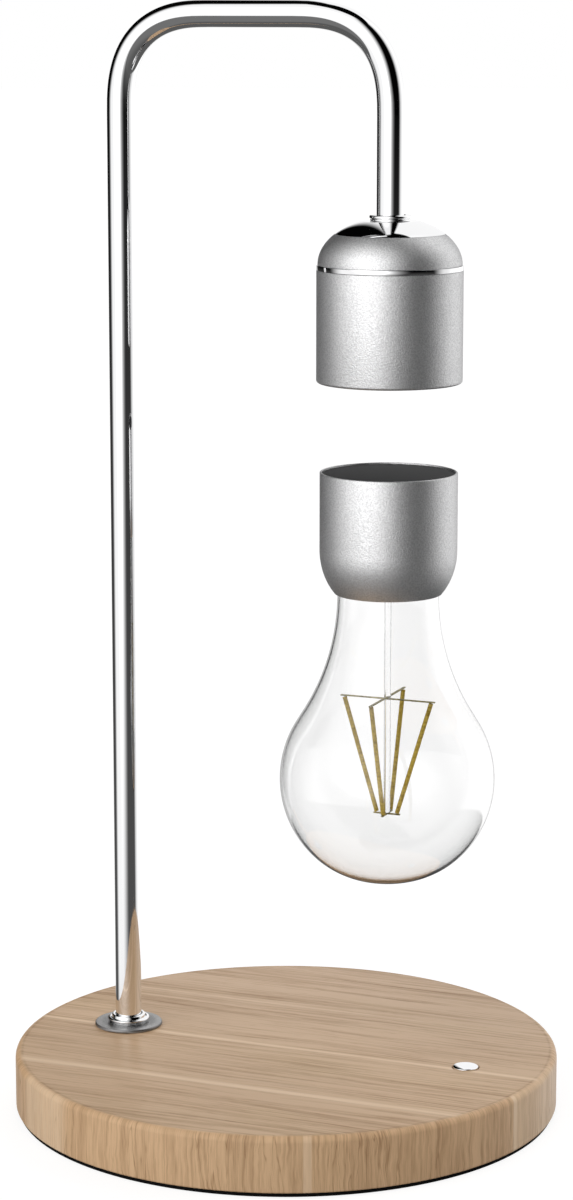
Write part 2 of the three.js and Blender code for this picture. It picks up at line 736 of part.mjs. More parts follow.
function bulbCap() {
  const curveTopZ = capCurveHeight * Math.sin(footAngle()) - capHeight;
  const outer = [];
  const inner = [];
  for (let i = 0; i <= domeSteps; i++) {
    const angle = footAngle() * i / domeSteps;
    const radius = capRadius - capCurveDepth * (1 - Math.cos(angle));
    outer.push([radius, curveTopZ - capCurveHeight * Math.sin(angle)]);
  }
  const [innerDepth, innerHeight] = [capCurveDepth - capWall, capCurveHeight - capWall];
  const innerEnd = Math.acos(1 - (capBore - neckHole) / innerDepth);
  for (let i = 0; i <= innerSteps; i++) {
    const angle = innerEnd * (innerSteps - i) / innerSteps;
    inner.push([capBore - innerDepth * (1 - Math.cos(angle)), curveTopZ - innerHeight * Math.sin(angle)]);
  }
  const mouth = capRadius - capRimWall;
  return turned([
    [neckHole, -capHeight], ...outer.reverse(), [capRadius, -capRimEdge], [capRadius - capRimEdge, 0],
    [mouth, 0], [mouth, capLedgeZ], [capBore, capLedgeZ], ...inner.reverse(),
  ], headSides);
}

// The cap's lower curve stops where only its wall is left round the neck
function footAngle() {
  const footRadius = neckHole + capRimWall;
  return Math.acos(1 - (capRadius - footRadius) / capCurveDepth);
}

function magnetCarrier() {
  const outer = capBore - seatGap;
  const seat = floatMagnetRadius + runningGap;
  const coilSeatZ = capLedgeZ - flatCoilHeight - seatGap;
  return turned([
    [0, carrierBottomZ], [outer, carrierBottomZ], [outer, coilSeatZ], [seat, coilSeatZ],
    [seat, magnetBottomZ - seatGap], [0, magnetBottomZ - seatGap],
  ], coilSides);
}

function rectifierBoard() {
  const disc = rod(rectifierRadius, rectifierBottomZ, rectifierTopZ, coilSides);
  const parts = [-1, 1].map((side) => along(
    block(chipSide / 2, chipSide, rectifierBottomZ - chipHeight, rectifierTopZ), side * chipSide, 0));
  return join(disc, ...parts);
}

const capLidRadius = capRadius - capRimWall - seatGap;
const capLid = rod(capLidRadius, -(capLidRecess + capLidThickness), -capLidRecess, headSides);
const receivingCoil = tube(
  capBore - seatGap, receivingCoilInner, capLedgeZ - flatCoilHeight, capLedgeZ, coilSides);
piece(bulb, 'bulb_cap', bulbCap(), satinAluminium());
piece(bulb, 'cap_lid', capLid, charcoalPlastic());
piece(bulb, 'float_magnet', rod(floatMagnetRadius, magnetBottomZ, capLedgeZ, coilSides), magnetNickel());
piece(bulb, 'receiving_coil', receivingCoil, copper());
piece(bulb, 'magnet_carrier', magnetCarrier(), blackPlastic());
piece(bulb, 'rectifier_board', rectifierBoard(), greenBoard());

// Bulb: glass
const globeArc = (radius) => arc(0, globeZ, radius, -Math.PI / 2, throatAngle, globeSteps)
  .map(([across, z]) => [across, z + globeFlat * Math.max((globeZ - z) / radius, 0) ** globeFlatPower]);
const throatArc = (radius) => arc(throatX, throatTopZ, radius, Math.PI + throatAngle, Math.PI, throatSteps);

function envelope() {
  const outer = [...globeArc(globeRadius), ...throatArc(throatRadius).slice(1), [neckRadius, neckTopZ]];
  const inner = [...globeArc(globeRadius - glassWall), ...throatArc(throatRadius + glassWall).slice(1),
    [neckRadius - glassWall, neckTopZ]];
  outer[0][0] = 0;
  inner[0][0] = 0;
  return turned([...outer, ...inner.reverse()], headSides);
}

// Ribbons at the filament tops pass through the stem, and a cross below it joins their feet
const ribbonZ = { x: globeZ + filamentRise - ribbonStep / 2, y: globeZ + filamentRise + ribbonStep / 2 };
const crossTopZ = globeZ - filamentFall;
const stemFootZ = crossTopZ + seamGap;
const ribbonLength = (filamentTopRadius + filamentRadius + ribbonOverhang) * 2;
const crossLength = (filamentFootRadius + filamentRadius + ribbonOverhang / 2) * 2;

function ribbonSlot(z) {
  const half = ribbonThickness / 2 + wireGap;
  return block(stemRadius * 2 + overrun * 2, ribbonWidth + wireGap * 2, z - half, z + half);
}

function glassStem() {
  const rim = neckRadius - glassWall - seatGap;
  const flare = (radius, top) => flareShares.map(([across, down]) =>
    [pinchRadius + (radius - pinchRadius) * across, top - flareDepth * down]);
  const outer = flare(rim, neckTopZ - glassWall);
  const inner = flare(rim - glassWall, neckTopZ).slice(0, -1);
  const pinchTopZ = neckTopZ - glassWall - flareDepth;
  const stem = turned([
    [0, stemFootZ], [stemRadius, stemFootZ], [stemRadius, pinchTopZ - pinchLength],
    [pinchRadius, pinchTopZ], ...outer.reverse(), [rim, neckTopZ], ...inner,
    [0, pinchTopZ + glassWall * 2],
  ], coilSides);
  const wireHoles = [-1, 1].map((side) => along(
    rod(leadRadius + wireGap, pinchTopZ, neckTopZ, leadSides), side * leadSpacing / 2));
  return cut(stem, ribbonSlot(ribbonZ.x), ribbonSlot(ribbonZ.y).rotateZ(Math.PI / 2), ...wireHoles);
}

// Two lead wires from the rectifier board into the glass
function leadWire(side) {
  const bottom = neckTopZ - flareDepth;
  return along(rod(leadRadius, bottom, rectifierBottomZ - seatGap, leadSides), side * leadSpacing / 2);
}

function filament(topZ, footZ) {
  const run = new THREE.Vector2(filamentTopRadius - filamentFootRadius, topZ - footZ);
  const straight = rod(filamentRadius, 0, run.length(), leadSides);
  return straight.rotateY(Math.atan2(run.x, run.y)).translate(filamentFootRadius, 0, footZ);
}

piece(bulb, 'glass_envelope', envelope(), clearGlass());
piece(bulb, 'glass_stem', glassStem(), clearGlass());
[-1, 1].forEach((side, i) => piece(bulb, `lead_wire_${i + 1}`, leadWire(side), nickelRibbon()));

const lean = Math.atan2(filamentTopRadius - filamentFootRadius, filamentRise + filamentFall);
const endRise = filamentRadius * Math.sin(lean) + seamGap;
['x', 'y', 'x', 'y'].forEach((axis, i) => {
  const topZ = ribbonZ[axis] - ribbonThickness / 2 - endRise;
  const rodPiece = filament(topZ, crossTopZ + endRise).rotateZ(i * Math.PI / 2);
  piece(bulb, `filament_${i + 1}`, rodPiece, amberPhosphor());
});

const ribbon = (length, z) => block(length, ribbonWidth, z - ribbonThickness / 2, z + ribbonThickness / 2);
piece(bulb, 'top_ribbon_x', ribbon(ribbonLength, ribbonZ.x), nickelRibbon());
piece(bulb, 'top_ribbon_y', ribbon(ribbonLength, ribbonZ.y).rotateZ(Math.PI / 2), nickelRibbon());
piece(bulb, 'foot_cross', join(ribbon(crossLength, crossTopZ - ribbonThickness / 2),
  ribbon(crossLength, crossTopZ - ribbonThickness / 2).rotateZ(Math.PI / 2)), nickelRibbon());

export default lamp;
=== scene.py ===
import math

import bmesh
import bpy
from bpy.props import FloatProperty, FloatVectorProperty, IntProperty, PointerProperty
from mathutils import Matrix, Vector


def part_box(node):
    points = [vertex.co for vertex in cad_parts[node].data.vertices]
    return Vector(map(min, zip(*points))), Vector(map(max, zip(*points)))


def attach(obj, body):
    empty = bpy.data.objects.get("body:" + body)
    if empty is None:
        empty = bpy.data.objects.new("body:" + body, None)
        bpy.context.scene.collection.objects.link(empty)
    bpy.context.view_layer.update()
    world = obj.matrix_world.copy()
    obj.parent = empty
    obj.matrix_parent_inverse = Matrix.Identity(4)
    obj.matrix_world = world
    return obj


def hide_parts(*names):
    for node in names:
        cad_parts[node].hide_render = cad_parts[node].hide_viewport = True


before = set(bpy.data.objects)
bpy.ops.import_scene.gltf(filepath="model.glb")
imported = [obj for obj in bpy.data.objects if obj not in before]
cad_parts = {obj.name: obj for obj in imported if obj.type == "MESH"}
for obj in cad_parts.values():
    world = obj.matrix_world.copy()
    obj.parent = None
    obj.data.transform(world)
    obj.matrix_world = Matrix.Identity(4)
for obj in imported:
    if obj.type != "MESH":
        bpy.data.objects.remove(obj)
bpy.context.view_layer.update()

# Finishes and fine meshes for a desk lamp whose bulb floats under the head of a swan-neck arm.
# Metres, in the frame's own axes: +Z up, and the arm lies in the XZ plane.

bl_info = {
    "name": "Balance lamp",
    "version": (1, 0, 0),
    "blender": (4, 5, 0),
    "location": "View3D > Sidebar > Lamp",
    "description": "Dresses the frame of a lamp with a floating bulb",
    "category": "Object",
}

MM = 0.001
BASE_SIDES = 192
FINE_SIDES = 160
ROUND_SIDES = 128
SMALL_SIDES = 64
CORNER_STEPS = 5
SHARP_ANGLE = math.radians(32)
TINY = 1e-7
TUBE_PLAY = 0.2 * MM
BUTTON_LIP = 1 * MM


class Seat:
    """The place that a CAD node holds: its middle, its radius across X and its heights."""

    def __init__(self, node):
        self.low, self.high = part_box(node)
        self.x = (self.low.x + self.high.x) / 2
        self.y = (self.low.y + self.high.y) / 2
        self.radius = (self.high.x - self.low.x) / 2
        self.bottom = self.low.z
        self.top = self.high.z


WOOD = Seat("base_disc")
PAD = Seat("foot_pad")
COVER = Seat("base_cover")
JACK = Seat("dc_jack")
PIN = Seat("jack_pin")
BUTTON = Seat("button_cap")
SWITCH = Seat("switch_body")
FLANGE = Seat("foot_flange")
FOOT_COLLAR = Seat("foot_collar")
HEAD_COLLAR = Seat("head_collar")
TUBE = Seat("swan_neck_tube")
BARREL = Seat("housing_barrel")
LID = Seat("housing_lid")
DRIVER = Seat("driver_board")
RING = Seat("accent_ring")
SHOULDER = Seat("housing_shoulder")
CROWN = Seat("housing_crown")
CAP = Seat("bulb_cap")
CAP_LID = Seat("cap_lid")
GLASS = Seat("glass_envelope")
STEM = Seat("glass_stem")
CROSS = Seat("foot_cross")
RIBBON_X = Seat("top_ribbon_x")
RIBBON_Y = Seat("top_ribbon_y")
POLE_X = FLANGE.x
HEAD_X = BARREL.x
JACK_Z = (JACK.bottom + JACK.top) / 2
DOME_RADIUS = BUTTON.radius - BUTTON_LIP
LIP_TOP = BUTTON.bottom + BUTTON_LIP


# Sizes and colours that a user would change

def length(name, default, description):
    return FloatProperty(name=name, default=default, description=description, unit="LENGTH", precision=5)


def colour(name, default, description):
    return FloatVectorProperty(name=name, default=default, description=description,
                               subtype="COLOR", size=3, min=0, max=1)


class LampSizes(bpy.types.PropertyGroup):
    """Fine sizes of the lamp's pieces"""

    seam: length("Seam", 0.1 * MM, "Gap where two shells meet")
    seat_gap: length("Seat gap", 0.3 * MM, "Gap round a piece that sits in a hole")
    wood_edge: length("Wood edge", 2.5 * MM, "Rounding of the wooden base's top edge")
    wood_foot: length("Wood foot", 0.8 * MM, "Rounding of the wooden base's lower edge")
    tube_radius: length("Tube radius", 4.82 * MM, "Outer radius of the swan-neck tube")
    tube_wall: length("Tube wall", 1 * MM, "Wall of the swan-neck tube")
    bend_reach: length("Bend reach", 35 * MM, "How far the tube's two bends reach from their corners")
    bend_squareness: FloatProperty(name="Bend squareness", default=2.6, min=1.5, max=6,
                                   description="2 is a quarter circle, and more eases in and out")
    flange_teeth: IntProperty(name="Flange teeth", default=150, min=12,
                              description="Fine teeth round the rim of the foot flange")
    collar_reeds: IntProperty(name="Collar reeds", default=84, min=8,
                              description="Upright reeds round the foot of the foot collar")
    barrel_edge: length("Barrel edge", 1.2 * MM, "Rounding of the barrel's lower edge")
    shell_wall: length("Shell wall", 2 * MM, "Wall of the head's shells")
    cap_wall: length("Cap wall", 1.5 * MM, "Wall of the bulb's cap")
    cap_curve_height: length("Cap curve height", 21.7 * MM, "Height of the curve at the cap's foot")
    cap_curve_depth: length("Cap curve depth", 17.5 * MM, "How far that curve would draw in")
    neck_radius: length("Neck radius", 18.1 * MM, "Radius of the bulb's neck")
    throat_radius: length("Throat radius", 82 * MM, "Radius of the hollow curve below the neck")
    globe_flat: length("Globe flat", 0.8 * MM, "How far the bulb is flattened under its foot")
    glass_wall: length("Glass wall", 0.8 * MM, "Wall of the bulb")
    globe_pip: length("Globe pip", 0.4 * MM, "How much thicker the glass is under the bulb's foot")
    stem_radius: length("Stem radius", 1.2 * MM, "Radius of the glass rod in the bulb")
    filament_radius: length("Filament radius", 0.8 * MM, "Radius of a filament")
    filament_top: length("Filament top", 16.5 * MM, "Distance of the filament tops from the axis")
    filament_foot: length("Filament foot", 3.9 * MM, "Distance of the filament feet from the axis")


class LampColours(bpy.types.PropertyGroup):
    """Colours of the lamp's finishes"""

    oak_light: colour("Light oak", (0.675, 0.478, 0.312), "Pale wood between the growth lines")
    oak_dark: colour("Dark oak", (0.375, 0.235, 0.135), "Growth lines and pores")
    oak_streak: colour("Streak oak", (0.84, 0.63, 0.43), "Palest streaks along the glue lines")
    steel: colour("Polished metal", (0.93, 0.93, 0.935), "Mirror finish of tube, crown and ring")
    aluminium: colour("Satin metal", (0.93, 0.93, 0.935), "Bead-blasted head and cap")
    flange: colour("Flange metal", (0.62, 0.62, 0.62), "Satin disc at the foot of the pole")
    charcoal: colour("Charcoal", (0.028, 0.028, 0.029), "Disc in the mouth of the cap")
    black: colour("Black", (0.012, 0.012, 0.012), "Plastics and cable")
    filament: colour("Filament", (0.62, 0.45, 0.080), "Coating of the filaments")
    ribbon: colour("Ribbon", (0.46, 0.40, 0.20), "Metal ribbons that join the filaments")


class LampStage(bpy.types.PropertyGroup):
    """Camera, floor and light"""

    lens: FloatProperty(name="Lens", default=96.33, description="Focal length, mm", min=10)
    azimuth: FloatProperty(name="Camera azimuth", default=math.radians(22.07), subtype="ANGLE",
                           description="How far the camera stands round from the front")
    pitch: FloatProperty(name="Camera pitch", default=math.radians(10.563), subtype="ANGLE",
                         description="How far the camera looks down")
    place: FloatVectorProperty(name="Camera place", default=(0.42845, -1.0564, 0.4017), size=3,
                               subtype="TRANSLATION", description="Where the camera stands")
    floor_radius: length("Floor radius", 14.0, "Radius of the round floor")
    key_glow: FloatProperty(name="Key glow", default=3.3, min=0,
                            description="How much brighter the middle of the key panel is than its edges")
    fill: FloatProperty(name="Fill", default=0.20, description="Even light on matt surfaces", min=0)


# Node trees

class Wire:
    """A socket that takes part in Python sums. Each sum adds the Math node that it needs."""

    def __init__(self, tree, socket):
        self.tree = tree
        self.socket = socket

    def __add__(self, other):
        return self.tree.maths("ADD", self, other)

    def __radd__(self, other):
        return self.tree.maths("ADD", other, self)

    def __sub__(self, other):
        return self.tree.maths("SUBTRACT", self, other)

    def __rsub__(self, other):
        return self.tree.maths("SUBTRACT", other, self)

    def __mul__(self, other):
        return self.tree.maths("MULTIPLY", self, other)

    def __rmul__(self, other):
        return self.tree.maths("MULTIPLY", other, self)

    def __truediv__(self, other):
        return self.tree.maths("DIVIDE", self, other)

    def __rtruediv__(self, other):
        return self.tree.maths("DIVIDE", other, self)

    def __pow__(self, other):
        return self.tree.maths("POWER", self, other)

    def __neg__(self):
        return self.tree.maths("MULTIPLY", self, -1)

    def __mod__(self, other):
        return self.tree.maths("FLOORED_MODULO", self, other)

    def __abs__(self):
        return self.tree.maths("ABSOLUTE", self)


class Tree:
    """A shader or geometry tree under construction."""

    def __init__(self, tree):
        self.tree = tree
        tree.nodes.clear()

    def feed(self, socket, value):
        if isinstance(value, Wire):
            self.tree.links.new(value.socket, socket)
        else:
            socket.default_value = value

    def add(self, kind, settings=None, inputs=None, output=0):
        """One node: its settings first, then the values or wires of its sockets."""
        node = self.tree.nodes.new(kind)
        for name, value in (settings or {}).items():
            setattr(node, name, value)
        for key, value in (inputs or {}).items():
            self.feed(node.inputs[key], value)
        return Wire(self, node.outputs[output]) if node.outputs else node

    def other(self, wire, output):
        """Another output of the node that a wire comes from."""
        return Wire(self, wire.socket.node.outputs[output])

    def maths(self, operation, *values):
        return self.add("ShaderNodeMath", {"operation": operation}, dict(enumerate(values)))

    def step(self, value, low, high):
        """A smooth rise from 0 at low to 1 at high."""
        return self.add("ShaderNodeMapRange", {"interpolation_type": "SMOOTHSTEP"},
                        {"Value": value, "From Min": low, "From Max": high})

    def span(self, value, low, high, soft):
        """1 between low and high, falling softly to 0 past both."""
        rise = self.step(value, low - soft, low + soft)
        return rise * (1 - self.step(value, high - soft, high + soft))

    def shades(self, factor, first, second, blend="MIX"):
        return self.add("ShaderNodeMix", {"data_type": "RGBA", "blend_type": blend},
                        {0: factor, 6: rgba(first), 7: rgba(second)}, 2)

    def tinted(self, first, second):
        """Two colours multiplied."""
        return self.shades(1, first, second, "MULTIPLY")

    def most(self, value, *others):
        """The largest of several values."""
        for other in others:
            value = self.maths("MAXIMUM", value, other)
        return value

    def vector(self, x, y, z):
        return self.add("ShaderNodeCombineXYZ", None, {0: x, 1: y, 2: z})

    def parts(self, vector):
        split = self.add("ShaderNodeSeparateXYZ", None, {0: vector})
        return split, self.other(split, 1), self.other(split, 2)

    def noise(self, vector, scale, detail, roughness=0.5):
        return self.add("ShaderNodeTexNoise", None, {
            "Vector": vector, "Scale": scale, "Detail": detail, "Roughness": roughness})

    def grain(self, x, y, z, detail=2, roughness=0.5):
        """Noise on axes that are each scaled by themselves."""
        return self.noise(self.vector(x, y, z), 1, detail, roughness)

    def chance(self, number, scale):
        """A number picked at random for each whole number."""
        return self.add("ShaderNodeTexNoise", {"noise_dimensions": "1D"},
                        {"W": number, "Scale": scale, "Detail": 0})


def rgba(value):
    return value if isinstance(value, Wire) else (*value[:3], 1)


class Finish(Tree):
    """A material with one Principled shader."""

    def __init__(self, name, **constants):
        self.material = bpy.data.materials.new(name)
        self.material.use_nodes = True
        super().__init__(self.material.node_tree)
        self.shader = self.tree.nodes.new("ShaderNodeBsdfPrincipled")
        self.out = self.tree.nodes.new("ShaderNodeOutputMaterial")
        self.tree.links.new(self.shader.outputs[0], self.out.inputs[0])
        self.place = self.add("ShaderNodeTexCoord", output="Object")
        for key, value in constants.items():
            self.set(key.replace("_", " ").title().replace("Ior", "IOR"), value)

    def set(self, name, value):
        self.feed(self.shader.inputs[name], value)

    def bump(self, height, distance, strength):
        self.set("Normal", self.add("ShaderNodeBump", None, {
            "Height": height, "Distance": distance, "Strength": strength}))

    def stretched(self, x, y, z):
        """Object coordinates with each axis scaled by itself, so that a pattern runs along an axis."""
        along, across, up = self.parts(self.place)
        return self.vector(along * x, across * y, up * z)

    def round_axis(self, x):
        """Object coordinates measured from the upright axis at x: (offset x, offset y, radius)."""
        along, across, _ = self.parts(self.place)
        offset = along - x
        return offset, across, self.maths("SQRT", offset * offset + across * across)


# Materials

def growth_line(finish, along, spacing, sharpness):
    """Thin dark lines that fade on one side, as the year rings of oak do."""
    ramp = (along / spacing) % 1
    return (1 - ramp) ** sharpness * finish.step(ramp, 0, 0.06)


def veins(finish, place, width):
    """Thin wandering lines, which lie where a smooth noise passes its middle."""
    swell = finish.noise(place, 1, 2, 0.45)
    return 1 - finish.step(abs(swell - 0.5), 0, width)


def oak():
    """Oiled oak: grain along the arm on top, and upright grain round the side."""
    colours = bpy.context.scene.lamp_colours
    finish = Finish("oak", specular_ior_level=0.2)
    x, y, z = finish.parts(finish.place)
    _, _, radius = finish.round_axis(0)
    board_width, board_start, ring_gap = 0.0470, 0.5036, 0.0056
    stave_width, stave_start, side_ring_gap = 0.0420, 0.1112, 0.0031

    # Top: boards glued edge to edge along the arm, with rings, streaks, fibres and pores
    board = finish.chance(finish.maths("FLOOR", (y + board_start) / board_width) * 7.31, 3.1)
    drift = finish.grain(x * 4.5, y * 13, board * 9, 3) - 0.5
    waver = finish.grain(x * 24, y * 70, board * 5, 2) - 0.5
    across = y + drift * 0.014 + waver * 0.0011
    band = finish.grain(x * 3, across * 42, board * 5, 4, 0.55)
    streak = finish.grain(x * 14, across * 720, board * 3, 4, 0.62)
    fibre = finish.grain(x * 52, across * 820, z * 300, 3, 0.65)
    pore = finish.grain(x * 190, y * 1500, z * 900, 1)
    patchy = finish.grain(x * 7, across * 55, board * 2, 3)
    rings = growth_line(finish, across + 0.3, ring_gap, 5) * finish.step(patchy, 0.44, 0.66)
    thread = veins(finish, finish.vector(x * 7, across * 230, board * 3), 0.07)
    thin = veins(finish, finish.vector(x * 15, across * 520, board * 6), 0.07)
    top_dark = (finish.step(band, 0.28, 0.74) * 0.46 + (streak - 0.5) * 1.9 + rings * 0.30
                + (fibre - 0.5) * 0.9 + finish.step(pore, 0.6, 0.75) * 0.22
                + (thread * 0.28 + thin * 0.18) * finish.step(patchy, 0.3, 0.7) - 0.12)
    glue = (finish.span(y + drift * 0.003, -0.0046, -0.0026, 0.0014) * 0.9
            + finish.span(y + drift * 0.010, -0.0525, -0.0490, 0.0020) * 0.8
            + finish.span(y + drift * 0.004, 0.0425, 0.0445, 0.0014) * 0.5)

    # Side: the same rings, upright, closer and wavier
    turn = finish.maths("ARCTAN2", y, x) * WOOD.radius
    stave = finish.chance(finish.maths("FLOOR", (turn + stave_start) / stave_width), 2.7)
    sway = finish.grain(turn * 30, z * 38, stave * 7, 3, 0.6) - 0.5
    tremble = finish.grain(turn * 150, z * 190, stave * 3, 2) - 0.5
    round_way = turn + sway * 0.0052 + tremble * 0.0008
    broad = finish.grain(round_way * 95, z * 6, stave * 5, 4, 0.6)
    grain = finish.grain(round_way * 820, z * 22, stave * 2, 3, 0.6)
    hair = finish.grain(turn * 2100, z * 95, 0.0, 2, 0.6)
    clump = finish.grain(round_way * 60, z * 14, stave * 4, 3)
    side_rings = growth_line(finish, round_way + 0.7, side_ring_gap, 5) * finish.step(clump, 0.36, 0.62)
    crack = veins(finish, finish.vector(round_way * 230, z * 17, stave * 4), 0.017)
    check = veins(finish, finish.vector(round_way * 620, z * 30, stave * 9), 0.04)
    side_dark = (finish.step(broad, 0.28, 0.74) * 0.40 + (grain - 0.5) * 1.6 + side_rings * 0.34
                 + (hair - 0.5) * 1.1 + crack * finish.step(clump, 0.38, 0.56) * 0.55
                 + check * finish.step(clump, 0.4, 0.6) * 0.28 + 0.03)
    seam = (finish.span(turn, -0.1128, -0.1098, 0.0003) * 0.55 + finish.span(turn, -0.0252, -0.0232, 0.0003)
            + finish.span(turn, 0.052, 0.0538, 0.0003) + finish.span(turn, -0.0232, 0.014, 0.0006) * 0.42
            + finish.span(turn, -0.240, -0.209, 0.004) * (0.45 + finish.step(hair, 0.4, 0.62) * 0.45))

    # Both, parted at the rounded edge, which has a band of painted shade
    on_side = finish.step(radius, WOOD.radius - 2.6 * MM, WOOD.radius - 0.9 * MM)
    edge_shade_band = finish.span(radius, WOOD.radius - 2.9 * MM, WOOD.radius - 2.2 * MM, 0.5 * MM) * 0.3
    mixed = top_dark + (side_dark - top_dark) * on_side + edge_shade_band
    dark = finish.most(finish.maths("MINIMUM", mixed, 1), 0)
    light = glue + (seam - glue) * on_side
    tint = finish.shades(dark, colours.oak_light, colours.oak_dark)
    olive = finish.step(finish.grain(x * 9, y * 26, z * 4, 2), 0.52, 0.72)
    aged = finish.shades(olive * 0.18, tint, finish.tinted(tint, (0.94, 1.0, 0.80)))
    # The top's tone is painted darker than the side's, as painted shade against the sheen that the top
    # catches
    rosy = finish.shades(stave * on_side + board * (1 - on_side), (0.92, 0.91, 0.86), (0.93, 0.87, 0.82))
    toned = finish.tinted(aged, rosy)
    top_painted_darker = finish.shades(on_side, toned, finish.tinted(toned, (1.14, 1.105, 1.04)))
    finish.set("Base Color", finish.shades(light * 0.85, top_painted_darker, colours.oak_streak))
    finish.set("Roughness", 0.34 + dark * 0.24)
    finish.bump(1 - dark, 0.09 * MM, 0.6)
    return finish.material


def mirror_metal():
    """Polished chrome with the faintest wiping marks."""
    colours = bpy.context.scene.lamp_colours
    finish = Finish("polished_chrome", metallic=1.0)
    wiped = finish.noise(finish.stretched(90, 90, 25), 1, 3, 0.6)
    speck = finish.noise(finish.place, 900, 2)
    finish.set("Base Color", finish.shades(wiped * 0.2, colours.steel, (0.86, 0.87, 0.88)))
    finish.set("Roughness", 0.025 + finish.step(wiped, 0.4, 0.8) * 0.03 + speck * 0.012)
    return finish.material


def satin_metal():
    """Bead-blasted aluminium: a fine pebbled skin that scatters the light."""
    colours = bpy.context.scene.lamp_colours
    # The grey specular tint is painted shade: it darkens the metal's glancing edges
    finish = Finish("bead_blasted_aluminium", metallic=1.0, specular_tint=(0.34, 0.34, 0.34, 1))
    pebble = finish.noise(finish.place, 1900, 2, 0.6)
    dimple = finish.noise(finish.place, 3600, 1)
    cloud = finish.noise(finish.place, 60, 2)
    speck = finish.step(pebble, 0.36, 0.64)
    finish.set("Base Color", finish.shades(speck, (0.75, 0.75, 0.755), colours.aluminium))
    finish.set("Roughness", 0.455 + cloud * 0.05 - speck * 0.07)
    finish.bump(pebble * 0.75 + dimple * 0.25, 0.16 * MM, 1.0)
    return finish.material


def flange_metal():
    """Satin steel disc, turned and lightly sparkling."""
    colours = bpy.context.scene.lamp_colours
    reeds = bpy.context.scene.lamp_sizes.collar_reeds
    finish = Finish("satin_steel_flange", metallic=1.0)
    offset, across, radius = finish.round_axis(POLE_X)
    grooves = finish.grain(radius * 2600, 0.0, 0.0)
    sparkle = finish.noise(finish.place, 2600, 2, 0.7)
    # The rim is painted dark, as painted shade
    painted_rim_shade = finish.step(radius, FLANGE.radius - 0.5 * MM, FLANGE.radius - 0.1 * MM)
    face = finish.shades(finish.step(sparkle, 0.36, 0.66), (0.41, 0.405, 0.40), colours.flange)
    # Dark ticks between the collar's reeds are painted shade of the reeds on the face
    between_reeds = finish.maths("SINE", finish.maths("ARCTAN2", across, offset) * reeds)
    painted_reed_shade = finish.step(between_reeds, 0.1, 0.7) * (1 - finish.step(radius, 9 * MM, 11 * MM))
    face_with_reed_shade = finish.shades(painted_reed_shade * 0.9, face, (0.07, 0.07, 0.075))
    finish.set("Base Color", finish.shades(painted_rim_shade * 0.7, face_with_reed_shade, (0.2, 0.2, 0.205)))
    finish.set("Roughness", 0.38 + finish.step(sparkle, 0.35, 0.75) * 0.2)
    finish.bump(sparkle * 0.75 + grooves * 0.25, 0.07 * MM, 0.8)
    return finish.material


def plain_steel(name, tone=(0.60, 0.60, 0.61)):
    """Plain metal of the screws, nuts, pin, magnets and core, zinc-plated unless a tone is given."""
    finish = Finish(name, metallic=1.0)
    cloud = finish.noise(finish.place, 400, 3, 0.6)
    finish.set("Base Color", finish.shades(cloud, tone, tuple(part * 0.8 for part in tone)))
    finish.set("Roughness", 0.28 + cloud * 0.18)
    finish.bump(cloud, 0.02 * MM, 0.4)
    return finish.material


def moulded(name, tone, roughness, grain=900, depth=0.03 * MM, gloss=0.5):
    """Moulded plastic or rubber with a fine spark-eroded skin."""
    finish = Finish(name, specular_ior_level=gloss)
    skin = finish.noise(finish.place, grain, 3, 0.6)
    finish.set("Base Color", finish.shades(skin, tone, tuple(part * 1.35 for part in tone)))
    finish.set("Roughness", roughness + skin * 0.12)
    finish.bump(skin, depth, 0.5)
    return finish.material


def clear_glass(name="clear_glass", edge=(0.965, 0.965, 0.965), reach=0.86, full=1.0):
    """Clear blown glass with a slight ripple and a foot that darkens towards the bottom.

    It takes the edge colour, painted shade at the glancing edges, from the slant reach on, and wholly at the
    slant full."""
    finish = Finish(name, transmission_weight=1.0, ior=1.47, roughness=0.0)
    ripple = finish.noise(finish.stretched(30, 30, 12), 1, 2)
    slant = finish.add("ShaderNodeLayerWeight", None, {"Blend": 0.5}, "Facing")
    # From the slant reach on, the edge colour is painted shade at the glancing edges
    thick = finish.step(slant, reach, full)
    clear = finish.shades(ripple * 0.3, (0.997, 0.997, 0.997), (0.985, 0.985, 0.985))
    _, _, z = finish.parts(finish.place)
    # The glass is tinted darker towards the bottom of the globe
    darkening_full_below, darkening_none_above = 0.086, 0.126
    foot_darkening = 1 - finish.step(z, darkening_full_below, darkening_none_above)
    darkened_glass = finish.shades(foot_darkening, clear, (0.94, 0.94, 0.938))
    finish.set("Base Color", finish.shades(thick, darkened_glass, edge))
    finish.bump(ripple, 0.05 * MM, 0.15)
    return finish.material


def filament_coat():
    """Amber coating of a filament, mottled where the chips lie under it."""
    colours = bpy.context.scene.lamp_colours
    finish = Finish("amber_filament_coat", specular_ior_level=0.25)
    _, _, z = finish.parts(finish.place)
    chip_pitch = 1.45 * MM
    chip = finish.maths("SINE", z * math.tau / chip_pitch)
    mottle = finish.noise(finish.place, 750, 3, 0.6)
    shade = finish.step(chip, 0.2, 0.9) * 0.30 + finish.step(mottle, 0.42, 0.64) * 0.6
    finish.set("Base Color", finish.shades(shade, colours.filament, (0.31, 0.19, 0.010)))
    finish.set("Roughness", 0.42 + mottle * 0.2)
    finish.bump(mottle, 0.1 * MM, 0.7)
    return finish.material


def ribbon_metal():
    """Dull nickel ribbon with a slight brown tarnish."""
    colours = bpy.context.scene.lamp_colours
    finish = Finish("nickel_ribbon", metallic=0.85)
    tarnish = finish.noise(finish.place, 700, 3, 0.6)
    brown = finish.step(tarnish, 0.38, 0.62)
    finish.set("Base Color", finish.shades(brown, colours.ribbon, (0.20, 0.17, 0.06)))
    finish.set("Roughness", 0.42 + tarnish * 0.2)
    finish.bump(tarnish, 0.03 * MM, 0.5)
    return finish.material


